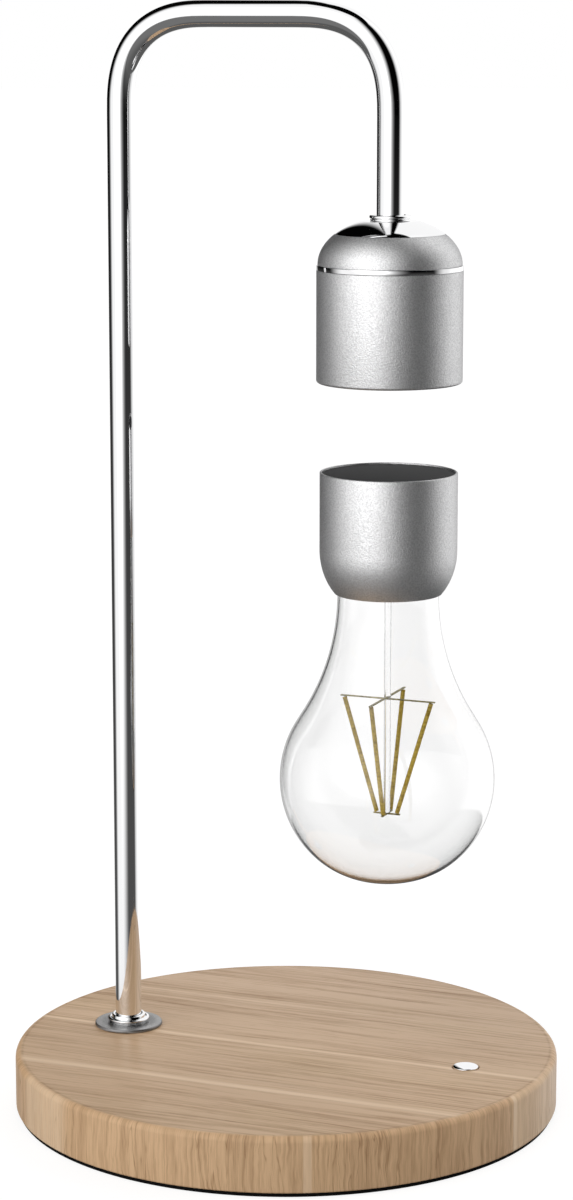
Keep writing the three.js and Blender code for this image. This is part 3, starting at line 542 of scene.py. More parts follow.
def winding():
    """Enamelled copper wire wound in close turns."""
    finish = Finish("copper_winding", metallic=0.9)
    _, _, z = finish.parts(finish.place)
    wire_pitch = 0.5 * MM
    turns = finish.maths("SINE", z * math.tau / wire_pitch)
    # The troughs between the turns are painted darker, as painted shade
    crest = finish.step(turns, -1, 1)
    finish.set("Base Color", finish.shades(crest, (0.28, 0.11, 0.04), (0.62, 0.30, 0.13)))
    finish.set("Roughness", 0.3 + crest * 0.1)
    finish.bump(turns, 0.1 * MM, 0.8)
    return finish.material


def circuit_green():
    """Solder mask with faint tracks under it."""
    finish = Finish("circuit_green", roughness=0.4)
    tracks = finish.add("ShaderNodeTexVoronoi", {"feature": "DISTANCE_TO_EDGE"},
                        {"Vector": finish.stretched(240, 240, 0.0), "Scale": 1.0})
    track = 1 - finish.step(tracks, 0.03, 0.09)
    finish.set("Base Color", finish.shades(track, (0.012, 0.10, 0.04), (0.03, 0.20, 0.08)))
    finish.bump(track, 0.03 * MM, 0.5)
    return finish.material


# Meshes

def softened(corners, steps=CORNER_STEPS, closed=False):
    """An outline of (radius, height) points, rounded at each corner that names a rounding."""
    count = len(corners)
    points = []
    for i, corner in enumerate(corners):
        here = Vector(corner[:2])
        rounding = corner[2] if len(corner) > 2 else 0
        if rounding == 0 or (not closed and i in (0, count - 1)):
            points.append(tuple(here))
            continue
        back = Vector(corners[i - 1][:2]) - here
        ahead = Vector(corners[(i + 1) % count][:2]) - here
        half = back.angle(ahead) / 2
        reach = min(rounding / math.tan(half), back.length * 0.48, ahead.length * 0.48)
        middle = here + (back.normalized() + ahead.normalized()).normalized() * (reach / math.cos(half))
        start = here + back.normalized() * reach - middle
        end = here + ahead.normalized() * reach - middle
        swing = start.angle_signed(end)
        for k in range(steps + 1):
            spoke = start.copy()
            spoke.rotate(Matrix.Rotation(-swing * k / steps, 2))
            points.append(tuple(middle + spoke))
    return points


def arc(centre, radius, start, end, steps, tall=None):
    """Points of an arc, or of an ellipse where tall is its upright half axis."""
    tall = radius if tall is None else tall
    points = []
    for i in range(steps + 1):
        angle = start + (end - start) * i / steps
        points.append((centre[0] + radius * math.cos(angle), centre[1] + tall * math.sin(angle)))
    return points


def turned(name, outline, x=0.0, sides=ROUND_SIDES, reach=None):
    """A mesh made by turning an outline about the upright axis at x.

    reach gives the share of a point's radius that shows at a side, for teeth."""
    on_axis = [abs(radius) < TINY for radius, _ in outline]
    verts, rings = [], []
    for k, (radius, height) in enumerate(outline):
        if on_axis[k]:
            rings.append([len(verts)] * sides)
            verts.append((x, 0, height))
            continue
        rings.append(list(range(len(verts), len(verts) + sides)))
        for i in range(sides):
            angle = math.tau * i / sides
            shown = radius * (reach(k, i) if reach else 1)
            verts.append((x + shown * math.cos(angle), shown * math.sin(angle), height))
    faces = []
    last = len(outline) - 1
    pairs = [(k, k + 1) for k in range(last)]
    if not (on_axis[0] and on_axis[last]):
        pairs.append((last, 0))
    for a, b in pairs:
        for i in range(sides):
            j = (i + 1) % sides
            face = list(dict.fromkeys([rings[a][i], rings[a][j], rings[b][j], rings[b][i]]))
            if len(face) > 2:
                faces.append(face)
    return finished_mesh(name, verts, faces)


def disc(name, seat, low_edge, high_edge, x=0.0, sides=ROUND_SIDES, steps=CORNER_STEPS):
    """A disc in the place of a CAD node, with its lower and upper edges rounded."""
    return turned(name, softened([
        (0, seat.bottom), (seat.radius, seat.bottom, low_edge),
        (seat.radius, seat.top, high_edge), (0, seat.top)], steps), x, sides)


def finished_mesh(name, verts, faces):
    mesh = bpy.data.meshes.new(name)
    mesh.from_pydata(verts, [], faces)
    return tidy(mesh)


def tidy(mesh):
    """Merges a mesh's doubles, turns its faces outwards and shades it smooth between sharp edges."""
    made = bmesh.new()
    made.from_mesh(mesh)
    bmesh.ops.remove_doubles(made, verts=made.verts, dist=TINY)
    bmesh.ops.recalc_face_normals(made, faces=made.faces)
    made.to_mesh(mesh)
    made.free()
    return smoothed(mesh)


def smoothed(mesh):
    mesh.shade_smooth()
    mesh.set_sharp_from_angle(angle=SHARP_ANGLE)
    mesh.update()
    return mesh


def slot_prism(name, left, right, half_width, bottom, top):
    """An upright prism with straight sides along X and round ends."""
    steps = 24
    outline = []
    for middle, start in ((right - half_width, -math.pi / 2), (left + half_width, math.pi / 2)):
        for i in range(steps + 1):
            angle = start + math.pi * i / steps
            outline.append((middle + half_width * math.cos(angle), half_width * math.sin(angle)))
    count = len(outline)
    verts = [(x, y, z) for z in (bottom, top) for x, y in outline]
    faces = [list(range(count))[::-1], list(range(count, 2 * count))]
    faces += [[i, (i + 1) % count, count + (i + 1) % count, count + i] for i in range(count)]
    return finished_mesh(name, verts, faces)


def block(name, low, high):
    """A box between two corners."""
    verts = [(x, y, z) for z in (low[2], high[2]) for y in (low[1], high[1]) for x in (low[0], high[0])]
    faces = [(0, 2, 3, 1), (4, 5, 7, 6), (0, 1, 5, 4), (2, 6, 7, 3), (0, 4, 6, 2), (1, 3, 7, 5)]
    return finished_mesh(name, verts, faces)


def turned_along_x(name, outline, sides=SMALL_SIDES):
    """A mesh made by turning an outline of (radius, place along X) about the inlet's level axis."""
    mesh = turned(name, outline, sides=sides)
    mesh.transform(Matrix.Translation((0, 0, JACK_Z)) @ Matrix.Rotation(math.pi / 2, 4, "Y"))
    return tidy(mesh)


def in_scene(mesh):
    piece = bpy.data.objects.new(mesh.name, mesh)
    bpy.context.scene.collection.objects.link(piece)
    return piece


def settled(piece):
    """Turns the modifiers of a piece into plain mesh."""
    bpy.context.view_layer.update()
    evaluated = piece.evaluated_get(bpy.context.evaluated_depsgraph_get())
    mesh = bpy.data.meshes.new_from_object(evaluated)
    mesh.name = piece.name
    piece.modifiers.clear()
    piece.data = mesh


def taken(piece):
    """The mesh of a settled piece, which leaves the scene."""
    mesh = piece.data
    bpy.data.objects.remove(piece)
    return tidy(mesh)


def carved(mesh, changes):
    """A mesh joined with or cut by others, one after another."""
    piece = in_scene(mesh)
    for operation, tool in changes:
        cutter = in_scene(tool)
        modifier = piece.modifiers.new("carve", "BOOLEAN")
        modifier.operation = operation
        modifier.solver = "EXACT"
        modifier.object = cutter
        settled(piece)
        bpy.data.objects.remove(cutter)
    return taken(piece)


def shown(name, mesh, material, body, slot, nodes):
    """Puts a finished mesh in the scene, in place of the CAD nodes that it stands for."""
    piece = in_scene(mesh)
    piece.name = name
    mesh.name = name
    mesh.materials.clear()
    mesh.materials.append(material)
    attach(piece, body)
    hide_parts(*nodes)
    return piece


def numbered(name, count):
    return [f"{name}_{number}" for number in range(1, count + 1)]


def dressed(nodes, material):
    """Gives a finish to CAD nodes that keep their shapes."""
    for node in nodes:
        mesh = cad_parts[node].data
        mesh.materials.clear()
        mesh.materials.append(material)


class Growth(Tree):
    """A Geometry Nodes tree with named inputs, run once on a piece and turned into plain mesh."""

    def __init__(self, name):
        super().__init__(bpy.data.node_groups.new(name, "GeometryNodeTree"))
        self.tree.is_modifier = True
        self.values = {}
        for way in ("INPUT", "OUTPUT"):
            self.tree.interface.new_socket("Geometry", in_out=way, socket_type="NodeSocketGeometry")

    def inputs(self, **values):
        """The geometry and the named inputs: whole numbers, lengths, objects or materials."""
        kinds = {int: "NodeSocketInt", float: "NodeSocketFloat",
                 bpy.types.Object: "NodeSocketObject", bpy.types.Material: "NodeSocketMaterial"}
        for name, value in values.items():
            title = name.replace("_", " ").capitalize()
            item = self.tree.interface.new_socket(title, in_out="INPUT", socket_type=kinds[type(value)])
            self.values[item.identifier] = value
        group_in = self.tree.nodes.new("NodeGroupInput")
        return [Wire(self, socket) for socket in group_in.outputs[:-1]]

    def rod(self, path, sides, radius, capped):
        """A round skin along a path."""
        section = self.add("GeometryNodeCurvePrimitiveCircle", None, {"Resolution": sides, "Radius": radius})
        return self.add("GeometryNodeCurveToMesh", None, {
            "Curve": path, "Profile Curve": section, "Fill Caps": capped})

    def grown(self, mesh, geometry, material):
        """Ends the tree in real faces with a material, and returns the mesh that it makes."""
        real = self.add("GeometryNodeRealizeInstances", None, {0: geometry})
        painted = self.add("GeometryNodeSetMaterial", None, {"Geometry": real, "Material": material})
        out = self.tree.nodes.new("NodeGroupOutput")
        self.feed(out.inputs[0], painted)
        piece = in_scene(mesh)
        modifier = piece.modifiers.new("growth", "NODES")
        modifier.node_group = self.tree
        for identifier, value in self.values.items():
            modifier[identifier] = value
        settled(piece)
        return taken(piece)


def point_cloud(name, places=((0, 0, 0),)):
    mesh = bpy.data.meshes.new(name)
    mesh.from_pydata([tuple(place) for place in places], [], [])
    return mesh


# Operators, one for each piece or group of like pieces

class LampOperator(bpy.types.Operator):
    """What the lamp's operators share"""

    bl_options = {"REGISTER", "UNDO"}

    @property
    def sizes(self):
        return bpy.context.scene.lamp_sizes

    @property
    def tube_bore(self):
        """Radius of a hole that the tube passes through."""
        return self.sizes.tube_radius + TUBE_PLAY


class LAMP_OT_camera(LampOperator):
    """Stands the camera where the photograph was taken from"""

    bl_idname = "lamp.camera"
    bl_label = "Camera"

    def execute(self, context):
        stage = context.scene.lamp_stage
        data = bpy.data.cameras.new("camera")
        data.lens = stage.lens
        data.sensor_width = 36
        data.sensor_fit = "AUTO"
        data.clip_start = 0.05
        data.clip_end = 100
        camera = bpy.data.objects.new("camera", data)
        camera.location = stage.place
        camera.rotation_euler = (math.pi / 2 - stage.pitch, 0, stage.azimuth)
        context.scene.collection.objects.link(camera)
        context.scene.camera = camera
        return {"FINISHED"}


class LAMP_OT_stage(LampOperator):
    """Makes the pale floor and the studio round the lamp"""

    bl_idname = "lamp.stage"
    bl_label = "Floor and light"

    def execute(self, context):
        stage = context.scene.lamp_stage
        self.studio(context.scene, stage)
        self.floor(stage)
        context.scene.view_settings.view_transform = "Standard"
        return {"FINISHED"}

    def floor(self, stage):
        finish = Finish("pale_floor", roughness=0.9, specular_ior_level=0.0)
        path = finish.add("ShaderNodeLightPath", output="Is Camera Ray")
        straight = finish.maths("LESS_THAN", finish.other(path, "Glossy Depth"), 0.5)
        seen = finish.most(path, finish.other(path, "Is Transmission Ray") * straight)
        finish.set("Base Color", (0.25, 0.25, 0.25, 1))
        glow = finish.add("ShaderNodeEmission", None, {"Color": (1, 1, 1, 1), "Strength": 0.835})
        absent = finish.add("ShaderNodeBsdfTransparent")
        both = finish.add("ShaderNodeAddShader", None, {0: Wire(finish, finish.shader.outputs[0]), 1: glow})
        mixed = finish.add("ShaderNodeMixShader", None, {0: seen, 1: absent, 2: both})
        finish.feed(finish.out.inputs[0], mixed)
        far, depth = stage.floor_radius, 2 * MM
        slab = turned("pale_floor", [(0, -depth), (far, -depth), (far, 0), (0, 0)])
        slab.materials.append(finish.material)
        floor = in_scene(slab)
        floor.visible_glossy = False
        floor.visible_diffuse = False

    def studio(self, scene, stage):
        """Soft panels round the lamp, placed by the azimuth from the camera and the height in degrees."""
        world = bpy.data.worlds.new("studio")
        scene.world = world
        world.use_nodes = True
        room = Tree(world.node_tree)
        x, y, z = room.parts(room.add("ShaderNodeTexCoord", output="Generated"))
        sine, cosine = math.sin(stage.azimuth), math.cos(stage.azimuth)
        toward = x * sine - y * cosine
        right = x * cosine + y * sine
        degree = math.degrees(1)
        azimuth = room.maths("ARCTAN2", right, toward) * degree
        behind = room.maths("ARCTAN2", -right, -toward) * degree
        height = room.maths("ARCSINE", z) * degree

        # The key panel stands to the camera's left and fades towards the camera
        lift = room.step(height, -4, 10)
        drift = azimuth - room.maths("MINIMUM", height + 6, 0) * 1.2 - lift * 5
        edge = room.step(azimuth, -112, -80) * (1 - room.step(drift, -30 + 14 * lift, 36 - 18 * lift))
        glow_way = azimuth - 20 * (1 - lift)
        glow = stage.key_glow * (1 - 0.65 * lift)
        bright = 1 + glow * room.span(glow_way, -62, -22, 22) * room.span(height, -3, 40, 15)
        key = edge * bright * room.span(height, -18.5, 70, 1.5)

        # The pale wall runs from the right round to the back, further round low down
        past = behind + room.maths("MINIMUM", height - 8, 0)
        dimmed = 1 - 0.55 * room.step(behind, -30, -3) * (1 - room.step(height, -3, 4))
        high_up = room.step(behind, -60, -30) * room.step(height, -3, 4)
        brighter = 0.28 * room.step(behind, -86, -68) * (1 - high_up)
        waist = 0.86 + 0.14 * room.step(abs(behind + 74), 4, 40)
        extent = room.step(behind, -112, -84) * (1 - room.step(past, 2, 11))
        wall = extent * room.span(height, -23.5, 66, 1.2) * waist * dimmed * (1 + brighter)

        # The floor of the room is dark, and slightly lighter near the camera
        dusk = (-height - 1) * 0.0052
        near = room.step(toward, 0.0, 0.18) * (1 - room.step(azimuth, -20, 40))
        ground = (1 - room.step(height, -21, -17)) * (0.10 + 0.07 * near)
        mirrored = room.most(key, wall, ground, room.maths("MINIMUM", dusk, 0.09)) + 0.001

        # The camera, alone or through clear glass, sees plain white. Matt surfaces get a softer light
        path = room.add("ShaderNodeLightPath", output="Is Camera Ray")
        matt = room.maths("GREATER_THAN", room.other(path, "Diffuse Depth"), 0.5)
        bounced = room.maths("GREATER_THAN", room.other(path, "Glossy Depth"), 0.5)
        through = room.other(path, "Is Transmission Ray") * (1 - bounced) * (1 - matt)
        inside = room.maths("GREATER_THAN", room.other(path, "Transmission Depth"), 3.5) * (1 - matt)
        inside = inside * room.step(-toward, 0.1, 0.4)
        clear = room.most(path, through, inside)
        spread = room.maths("MINIMUM", mirrored, 1.1) * 1.05 + stage.fill * (1 + 0.9 * z)
        level = mirrored * (1 - matt) + spread * matt
        final = clear + level * (1 - clear)
        shine = room.add("ShaderNodeBackground", None, {"Color": (1, 1, 1, 1), "Strength": final})
        out = world.node_tree.nodes.new("ShaderNodeOutputWorld")
        room.feed(out.inputs[0], shine)
        world.cycles.sampling_method = "NONE"


class LAMP_OT_base(LampOperator):
    """Turns the wooden base and its pad"""

    bl_idname = "lamp.base"
    bl_label = "Wooden base"

    def execute(self, context):
        sizes = self.sizes
        over = 2 * MM
        gap = sizes.seat_gap
        blank = disc("oak_base", WOOD, sizes.wood_foot, sizes.wood_edge, sides=BASE_SIDES, steps=8)
        ledge = 7.3 * MM
        rebate_half = COVER.high.y + gap
        rebate_top = WOOD.bottom + 2.5 * MM + gap
        pocket_left = JACK.high.x - 9 * MM
        pocket_right = SWITCH.high.x + 2 * MM
        pocket_top = LIP_TOP + gap
        below = WOOD.bottom - over
        tools = [
            slot_prism("pocket", pocket_left, pocket_right, rebate_half - ledge, below, pocket_top),
            slot_prism("rebate", COVER.low.x - gap, COVER.high.x + gap, rebate_half, below, rebate_top),
            self.bore(POLE_X, sizes.tube_radius + gap, pocket_top - over),
            self.bore(BUTTON.x, DOME_RADIUS + gap, pocket_top - over),
            self.inlet_hole(4 * MM, over, pocket_left),
        ]
        wood = carved(blank, [("DIFFERENCE", tool) for tool in tools])
        shown("oak_base", wood, oak(), "stand", "oak", ["base_disc"])

        pad = disc("anti_slip_pad", PAD, 0.3 * MM, 0.3 * MM, sides=BASE_SIDES, steps=4)
        rubber = moulded("pad_rubber", (0.004, 0.004, 0.004), 0.85, 1400, gloss=0.08)
        shown("anti_slip_pad", pad, rubber, "stand", "foot_rubber", ["foot_pad"])
        return {"FINISHED"}

    def bore(self, x, radius, bottom):
        """A cutter for an upright hole with a small chamfer at the top of the wood."""
        chamfer = 0.25 * MM
        over = 1 * MM
        return turned("bore", [
            (0, bottom), (radius, bottom), (radius, WOOD.top - chamfer),
            (radius + chamfer + over, WOOD.top + over), (0, WOOD.top + over)], x, SMALL_SIDES)

    def inlet_hole(self, radius, over, end):
        """A cutter for the inlet's hole, from the rim to the pocket, flared at the rim."""
        rim = -WOOD.radius
        return turned_along_x("inlet_hole", [
            (0, rim - over), (radius + 1 * MM, rim - over), (radius + 0.6 * MM, rim),
            (radius, rim + 0.5 * MM), (radius, end + over), (0, end + over)])


class LAMP_OT_inlet(LampOperator):
    """Makes the inlet in the rim behind the pole"""

    bl_idname = "lamp.inlet"
    bl_label = "Power inlet"

    def execute(self, context):
        front = JACK.low.x
        over = 1 * MM
        lip = 0.3 * MM
        barrel_radius = 3.7 * MM
        bore_radius = 2.9 * MM
        bore_end = front + 9.5 * MM
        block_left = JACK.high.x - 8 * MM
        pin_radius = PIN.high.z - JACK_Z
        pin_bore_radius = pin_radius + 0.15 * MM
        pin_bore_end = PIN.high.x + 0.3 * MM
        barrel = turned_along_x("inlet_socket", softened([
            (0, front), (barrel_radius, front, 0.35 * MM),
            (barrel_radius, block_left + over), (0, block_left + over)]))
        body = block("inlet_block", (block_left, JACK.low.y, JACK.bottom), JACK.high)
        bore = turned_along_x("plug_bore", [
            (0, front - over), (bore_radius + lip + over, front - over),
            (bore_radius, front + lip), (bore_radius, bore_end), (0, bore_end)])
        pin_bore = turned_along_x("pin_bore", [
            (0, front), (pin_bore_radius, front), (pin_bore_radius, pin_bore_end), (0, pin_bore_end)])
        socket = carved(barrel, [("UNION", body), ("DIFFERENCE", bore), ("DIFFERENCE", pin_bore)])
        black = moulded("inlet_plastic", context.scene.lamp_colours.black, 0.4, 700)
        shown("inlet_socket", socket, black, "stand", "black_plastic", ["dc_jack"])
        pin = turned_along_x("inlet_pin", softened([
            (0, PIN.low.x), (pin_radius, PIN.low.x, 0.6 * MM), (pin_radius, PIN.high.x), (0, PIN.high.x)]),
            sides=32)
        shown("inlet_pin", pin, plain_steel("inlet_pin_steel"), "stand", "satin_steel", ["jack_pin"])
        return {"FINISHED"}


class LAMP_OT_button(LampOperator):
    """Makes the polished button in the base"""

    bl_idname = "lamp.button"
    bl_label = "Push button"

    def execute(self, context):
        skirt = 0.2 * MM
        dome = arc((0, WOOD.top + skirt), DOME_RADIUS, math.pi / 2, 0, 28, BUTTON.top - WOOD.top - skirt)
        dome[0] = (0, BUTTON.top)
        outline = [*dome, *softened([
            dome[-1], (DOME_RADIUS, LIP_TOP, 0.1 * MM), (BUTTON.radius, LIP_TOP, 0.15 * MM),
            (BUTTON.radius, BUTTON.bottom, 0.15 * MM), (0, BUTTON.bottom)])[1:]]
        cap = turned("push_button", outline, BUTTON.x, SMALL_SIDES)
        shown("push_button", cap, mirror_metal(), "button", "chrome", ["button_cap"])
        return {"FINISHED"}


class LAMP_OT_swan_neck(LampOperator):
    """Bends the tube from the base up, over and down to the head"""

    bl_idname = "lamp.swan_neck"
    bl_label = "Swan-neck tube"

    def execute(self, context):
        sizes = self.sizes
        chrome = mirror_metal()
        growth = Growth("Swan neck")
        _, pole, drop, crest, foot, tip, reach, square, radius, steps, sides, paint = growth.inputs(
            pole_place=POLE_X, drop_place=HEAD_X, crest_height=TUBE.top - sizes.tube_radius,
            foot_height=TUBE.bottom, tip_height=self.tip(), bend_reach=sizes.bend_reach,
            bend_squareness=sizes.bend_squareness, tube_radius=sizes.tube_radius,
            bend_steps=40, round_sides=96, finish=chrome)

        # Stations: the foot, the pole's bend, the bend above the head, and the tip
        index = growth.add("GeometryNodeInputIndex")
        last = steps * 2 + 3
        turned_back = growth.maths("GREATER_THAN", index, steps + 1.5)
        from_end = index + (last - 2 * index) * turned_back
        turn = (from_end - 1) / steps * (math.pi / 2)
        power = 1 / (square - 1)
        across = growth.maths("MAXIMUM", growth.maths("COSINE", turn), 0) ** power
        rise = growth.maths("MAXIMUM", growth.maths("SINE", turn), 0) ** power
        size = (across ** square + rise ** square) ** (1 / square)
        side = pole + (drop - pole) * turned_back
        inward = 1 - 2 * turned_back
        at_end = growth.maths("LESS_THAN", from_end, 0.5)
        bend_x = side + inward * reach * (1 - across / size)
        bend_z = crest - reach * (1 - rise / size)
        end_z = foot + (tip - foot) * turned_back
        x = bend_x + (side - bend_x) * at_end
        z = bend_z + (end_z - bend_z) * at_end
        line = growth.add("GeometryNodeMeshLine", None, {"Count": last + 1})
        bent = growth.add("GeometryNodeSetPosition", None, {
            "Geometry": line, "Position": growth.vector(x, 0.0, z)})
        path = growth.add("GeometryNodeMeshToCurve", None, {0: bent})
        skin = growth.rod(path, sides, radius, False)
        piece = in_scene(growth.grown(point_cloud("swan_neck"), skin, paint))
        wall = piece.modifiers.new("wall", "SOLIDIFY")
        wall.thickness = sizes.tube_wall
        wall.offset = -1
        settled(piece)
        shown("swan_neck", taken(piece), chrome, "stand", "chrome", ["swan_neck_tube"])
        return {"FINISHED"}

    def tip(self):
        """The tube's lower end in the head, one tail below the nut."""
        return Seat("head_nut").bottom - 1 * MM


class LAMP_OT_foot_fittings(LampOperator):
    """Makes the flange and the reeded collar at the foot of the pole"""

    bl_idname = "lamp.foot_fittings"
    bl_label = "Foot fittings"

    def execute(self, context):
        sizes = self.sizes
        bore = self.tube_bore
        rim = [(FLANGE.radius - 0.3 * MM, FLANGE.bottom), (FLANGE.radius, FLANGE.bottom + 0.15 * MM),
               (FLANGE.radius, FLANGE.top - 0.35 * MM)]
        outline = [(bore, FLANGE.bottom), *rim,
                   *softened([rim[-1], (FLANGE.radius - 0.28 * MM, FLANGE.top, 0.15 * MM),
                              (bore, FLANGE.top, 0.1 * MM), (bore, FLANGE.bottom)])[1:-1]]
        notch = 1 - 0.14 * MM / FLANGE.radius
        rim_points = (2, 3)
        flange = turned("foot_disc", outline, POLE_X, sizes.flange_teeth * 2,
                        lambda k, i: notch if k in rim_points and i % 2 else 1)
        shown("foot_disc", flange, flange_metal(), "stand", "satin_steel", ["foot_flange"])

        seat = FOOT_COLLAR
        width, tall = seat.radius, seat.top - seat.bottom
        skirt = tall * 0.30
        collar = turned("pole_collar", softened([
            (bore, seat.bottom), (width * 0.90, seat.bottom), (width * 0.90, seat.bottom + skirt),
            (width, seat.bottom + skirt, 0.3 * MM), (width, seat.bottom + tall * 0.58, 0.35 * MM),
            (width * 0.87, seat.bottom + tall * 0.62, 0.15 * MM), (width * 0.85, seat.bottom + tall * 0.56),
            (width * 0.82, seat.bottom + tall * 0.62, 0.2 * MM), (width * 0.795, seat.top, 0.4 * MM),
            (bore, seat.top, 0.2 * MM)], 6, closed=True), POLE_X)
        chrome = mirror_metal()
        joined = bmesh.new()
        joined.from_mesh(collar)
        joined.from_mesh(self.reeds(seat, width * 0.90, skirt, chrome))
        joined.to_mesh(collar)
        joined.free()
        shown("pole_collar", smoothed(collar), chrome, "stand", "chrome", ["foot_collar"])
        return {"FINISHED"}

    def reeds(self, seat, radius, tall, chrome):
        """Upright reeds set round the foot of the collar."""
        half = 0.15 * MM
        reed = in_scene(block("reed", (-half, -half, 0), (half * 2, half, 1)))
        growth = Growth("Reeds")
        _, count, place, low, height, middle, template, paint = growth.inputs(
            count=self.sizes.collar_reeds, ring_radius=radius, foot_height=seat.bottom, reed_height=tall,
            pole_place=POLE_X, reed=reed, finish=chrome)
        circle = growth.add("GeometryNodeMeshCircle", None, {"Vertices": count, "Radius": place})
        index = growth.add("GeometryNodeInputIndex")
        angle = index * math.tau / count
        shape = growth.add("GeometryNodeObjectInfo", None, {"Object": template}, "Geometry")
        set_round = growth.add("GeometryNodeInstanceOnPoints", None, {
            "Points": circle, "Instance": shape, "Rotation": growth.vector(0.0, 0.0, angle),
            "Scale": growth.vector(1.0, 1.0, height)})
        moved = growth.add("GeometryNodeTransform", None, {
            "Geometry": set_round, "Translation": growth.vector(middle, 0.0, low)})
        mesh = growth.grown(point_cloud("reeds"), moved, paint)
        bpy.data.objects.remove(reed)
        return mesh


class LAMP_OT_head(LampOperator):
    """Turns the shells of the head and the collar on it"""

    bl_idname = "lamp.head"
    bl_label = "Head"

    def execute(self, context):
        satin = satin_metal()
        chrome = mirror_metal()
        shown("head_barrel", self.barrel(), satin, "stand", "satin_aluminium", ["housing_barrel"])
        lid = disc("head_lid", LID, 0.25 * MM, 0.2 * MM, HEAD_X)
        black = moulded("lid_plastic", context.scene.lamp_colours.black, 0.5)
        shown("head_lid", lid, black, "stand", "black_plastic", ["housing_lid"])
        shown("bright_ring", self.ring(), chrome, "stand", "chrome", ["accent_ring"])
        shown("head_shoulder", self.shoulder(), satin, "stand", "satin_aluminium", ["housing_shoulder"])
        shown("head_crown", self.crown(), chrome, "stand", "chrome", ["housing_crown"])
        shown("neck_collar", self.collar(), chrome, "stand", "chrome", ["head_collar"])
        return {"FINISHED"}

    def barrel(self):
        wall = self.sizes.shell_wall
        bore = BARREL.radius - wall
        ledge = bore - 1.6 * MM
        thick = 1.4 * MM
        gap = self.sizes.seat_gap
        lid_seat = LID.top + gap
        board_seat = DRIVER.bottom - gap
        return turned("head_barrel", softened([
            (bore, BARREL.bottom, 0.2 * MM), (BARREL.radius, BARREL.bottom, self.sizes.barrel_edge),
            (BARREL.radius, BARREL.top, 0.12 * MM), (bore, BARREL.top, 0.1 * MM),
            (bore, board_seat), (ledge, board_seat), (ledge, board_seat - thick), (bore, board_seat - thick),
            (bore, lid_seat + thick), (ledge, lid_seat + thick), (ledge, lid_seat), (bore, lid_seat)],
            closed=True), HEAD_X)

    def ring(self):
        sizes = self.sizes
        wall = 1.6 * MM
        inner_radius, inner_tall = SHOULDER.radius - sizes.shell_wall, self.dome_height() - sizes.shell_wall
        upper = self.dome(RING.top, inner_radius, inner_tall) - sizes.seat_gap
        lower = BARREL.radius - sizes.shell_wall - sizes.seat_gap
        bore = upper - wall
        low, high = BARREL.top + sizes.seam, SHOULDER.bottom - sizes.seam
        return turned("bright_ring", softened([
            (bore, RING.bottom), (lower, RING.bottom), (lower, low), (RING.radius, low, 0.1 * MM),
            (RING.radius, high, 0.1 * MM), (upper, high), (upper, RING.top), (bore, RING.top)],
            closed=True), HEAD_X)

    def dome_height(self):
        """Height of the whole dome, of which the shoulder is the lower part."""
        share = (CROWN.radius + self.sizes.seam) / SHOULDER.radius
        return (SHOULDER.top - SHOULDER.bottom) / math.sqrt(1 - share ** 2)

    def dome(self, height, radius, tall):
        """Radius of a dome on the shoulder's foot, at a height."""
        return radius * math.sqrt(1 - ((height - SHOULDER.bottom) / tall) ** 2)

    def dome_points(self, radius, tall, from_radius, to_radius, steps):
        """Points of such a dome between two radii."""
        start, end = math.acos(from_radius / radius), math.acos(to_radius / radius)
        return arc((0, SHOULDER.bottom), radius, start, end, steps, tall)

    def shoulder(self):
        tall, wall = self.dome_height(), self.sizes.shell_wall
        edge = CROWN.radius + self.sizes.seam
        mouth = edge - 2 * MM
        outer = self.dome_points(SHOULDER.radius, tall, SHOULDER.radius, edge, 40)
        inner = self.dome_points(SHOULDER.radius - wall, tall - wall, mouth, SHOULDER.radius - wall, 16)
        return turned("head_shoulder", [*outer, (mouth, SHOULDER.top), *inner], HEAD_X, FINE_SIDES)

    def crown(self):
        tall = self.dome_height()
        land = 9.8 * MM
        bore = self.tube_bore
        skirt = CROWN.radius - 2 * MM - 0.2 * MM
        wall = 2.5 * MM
        ceiling = CROWN.top - 4 * MM
        rim_height = SHOULDER.bottom + tall * math.sqrt(1 - (CROWN.radius / SHOULDER.radius) ** 2)
        outer = self.dome_points(SHOULDER.radius, tall, CROWN.radius, land, 40)
        blend = softened([outer[-2], (land, CROWN.top, 1.2 * MM), (bore, CROWN.top)])[1:-1]
        return turned("head_crown", [
            (bore, ceiling), (skirt - wall, ceiling), (skirt - wall, CROWN.bottom), (skirt, CROWN.bottom),
            (skirt, rim_height), *outer[:-1], *blend, (bore, CROWN.top)], HEAD_X, FINE_SIDES)

    def collar(self):
        seat = HEAD_COLLAR
        bore = self.tube_bore
        width, tall = seat.radius, seat.top - seat.bottom
        return turned("neck_collar", softened([
            (bore, seat.bottom), (width * 0.96, seat.bottom, 0.15 * MM),
            (width * 0.96, seat.bottom + tall * 0.27, 0.15 * MM), (width * 0.87, seat.bottom + tall * 0.30),
            (width * 0.87, seat.bottom + tall * 0.36), (width, seat.bottom + tall * 0.40, 0.5 * MM),
            (width, seat.top, 0.55 * MM), (width * 0.76, seat.top, 0.25 * MM),
            (width * 0.72, seat.top - 0.2 * MM), (bore, seat.top - 0.2 * MM)], 8, closed=True), HEAD_X)


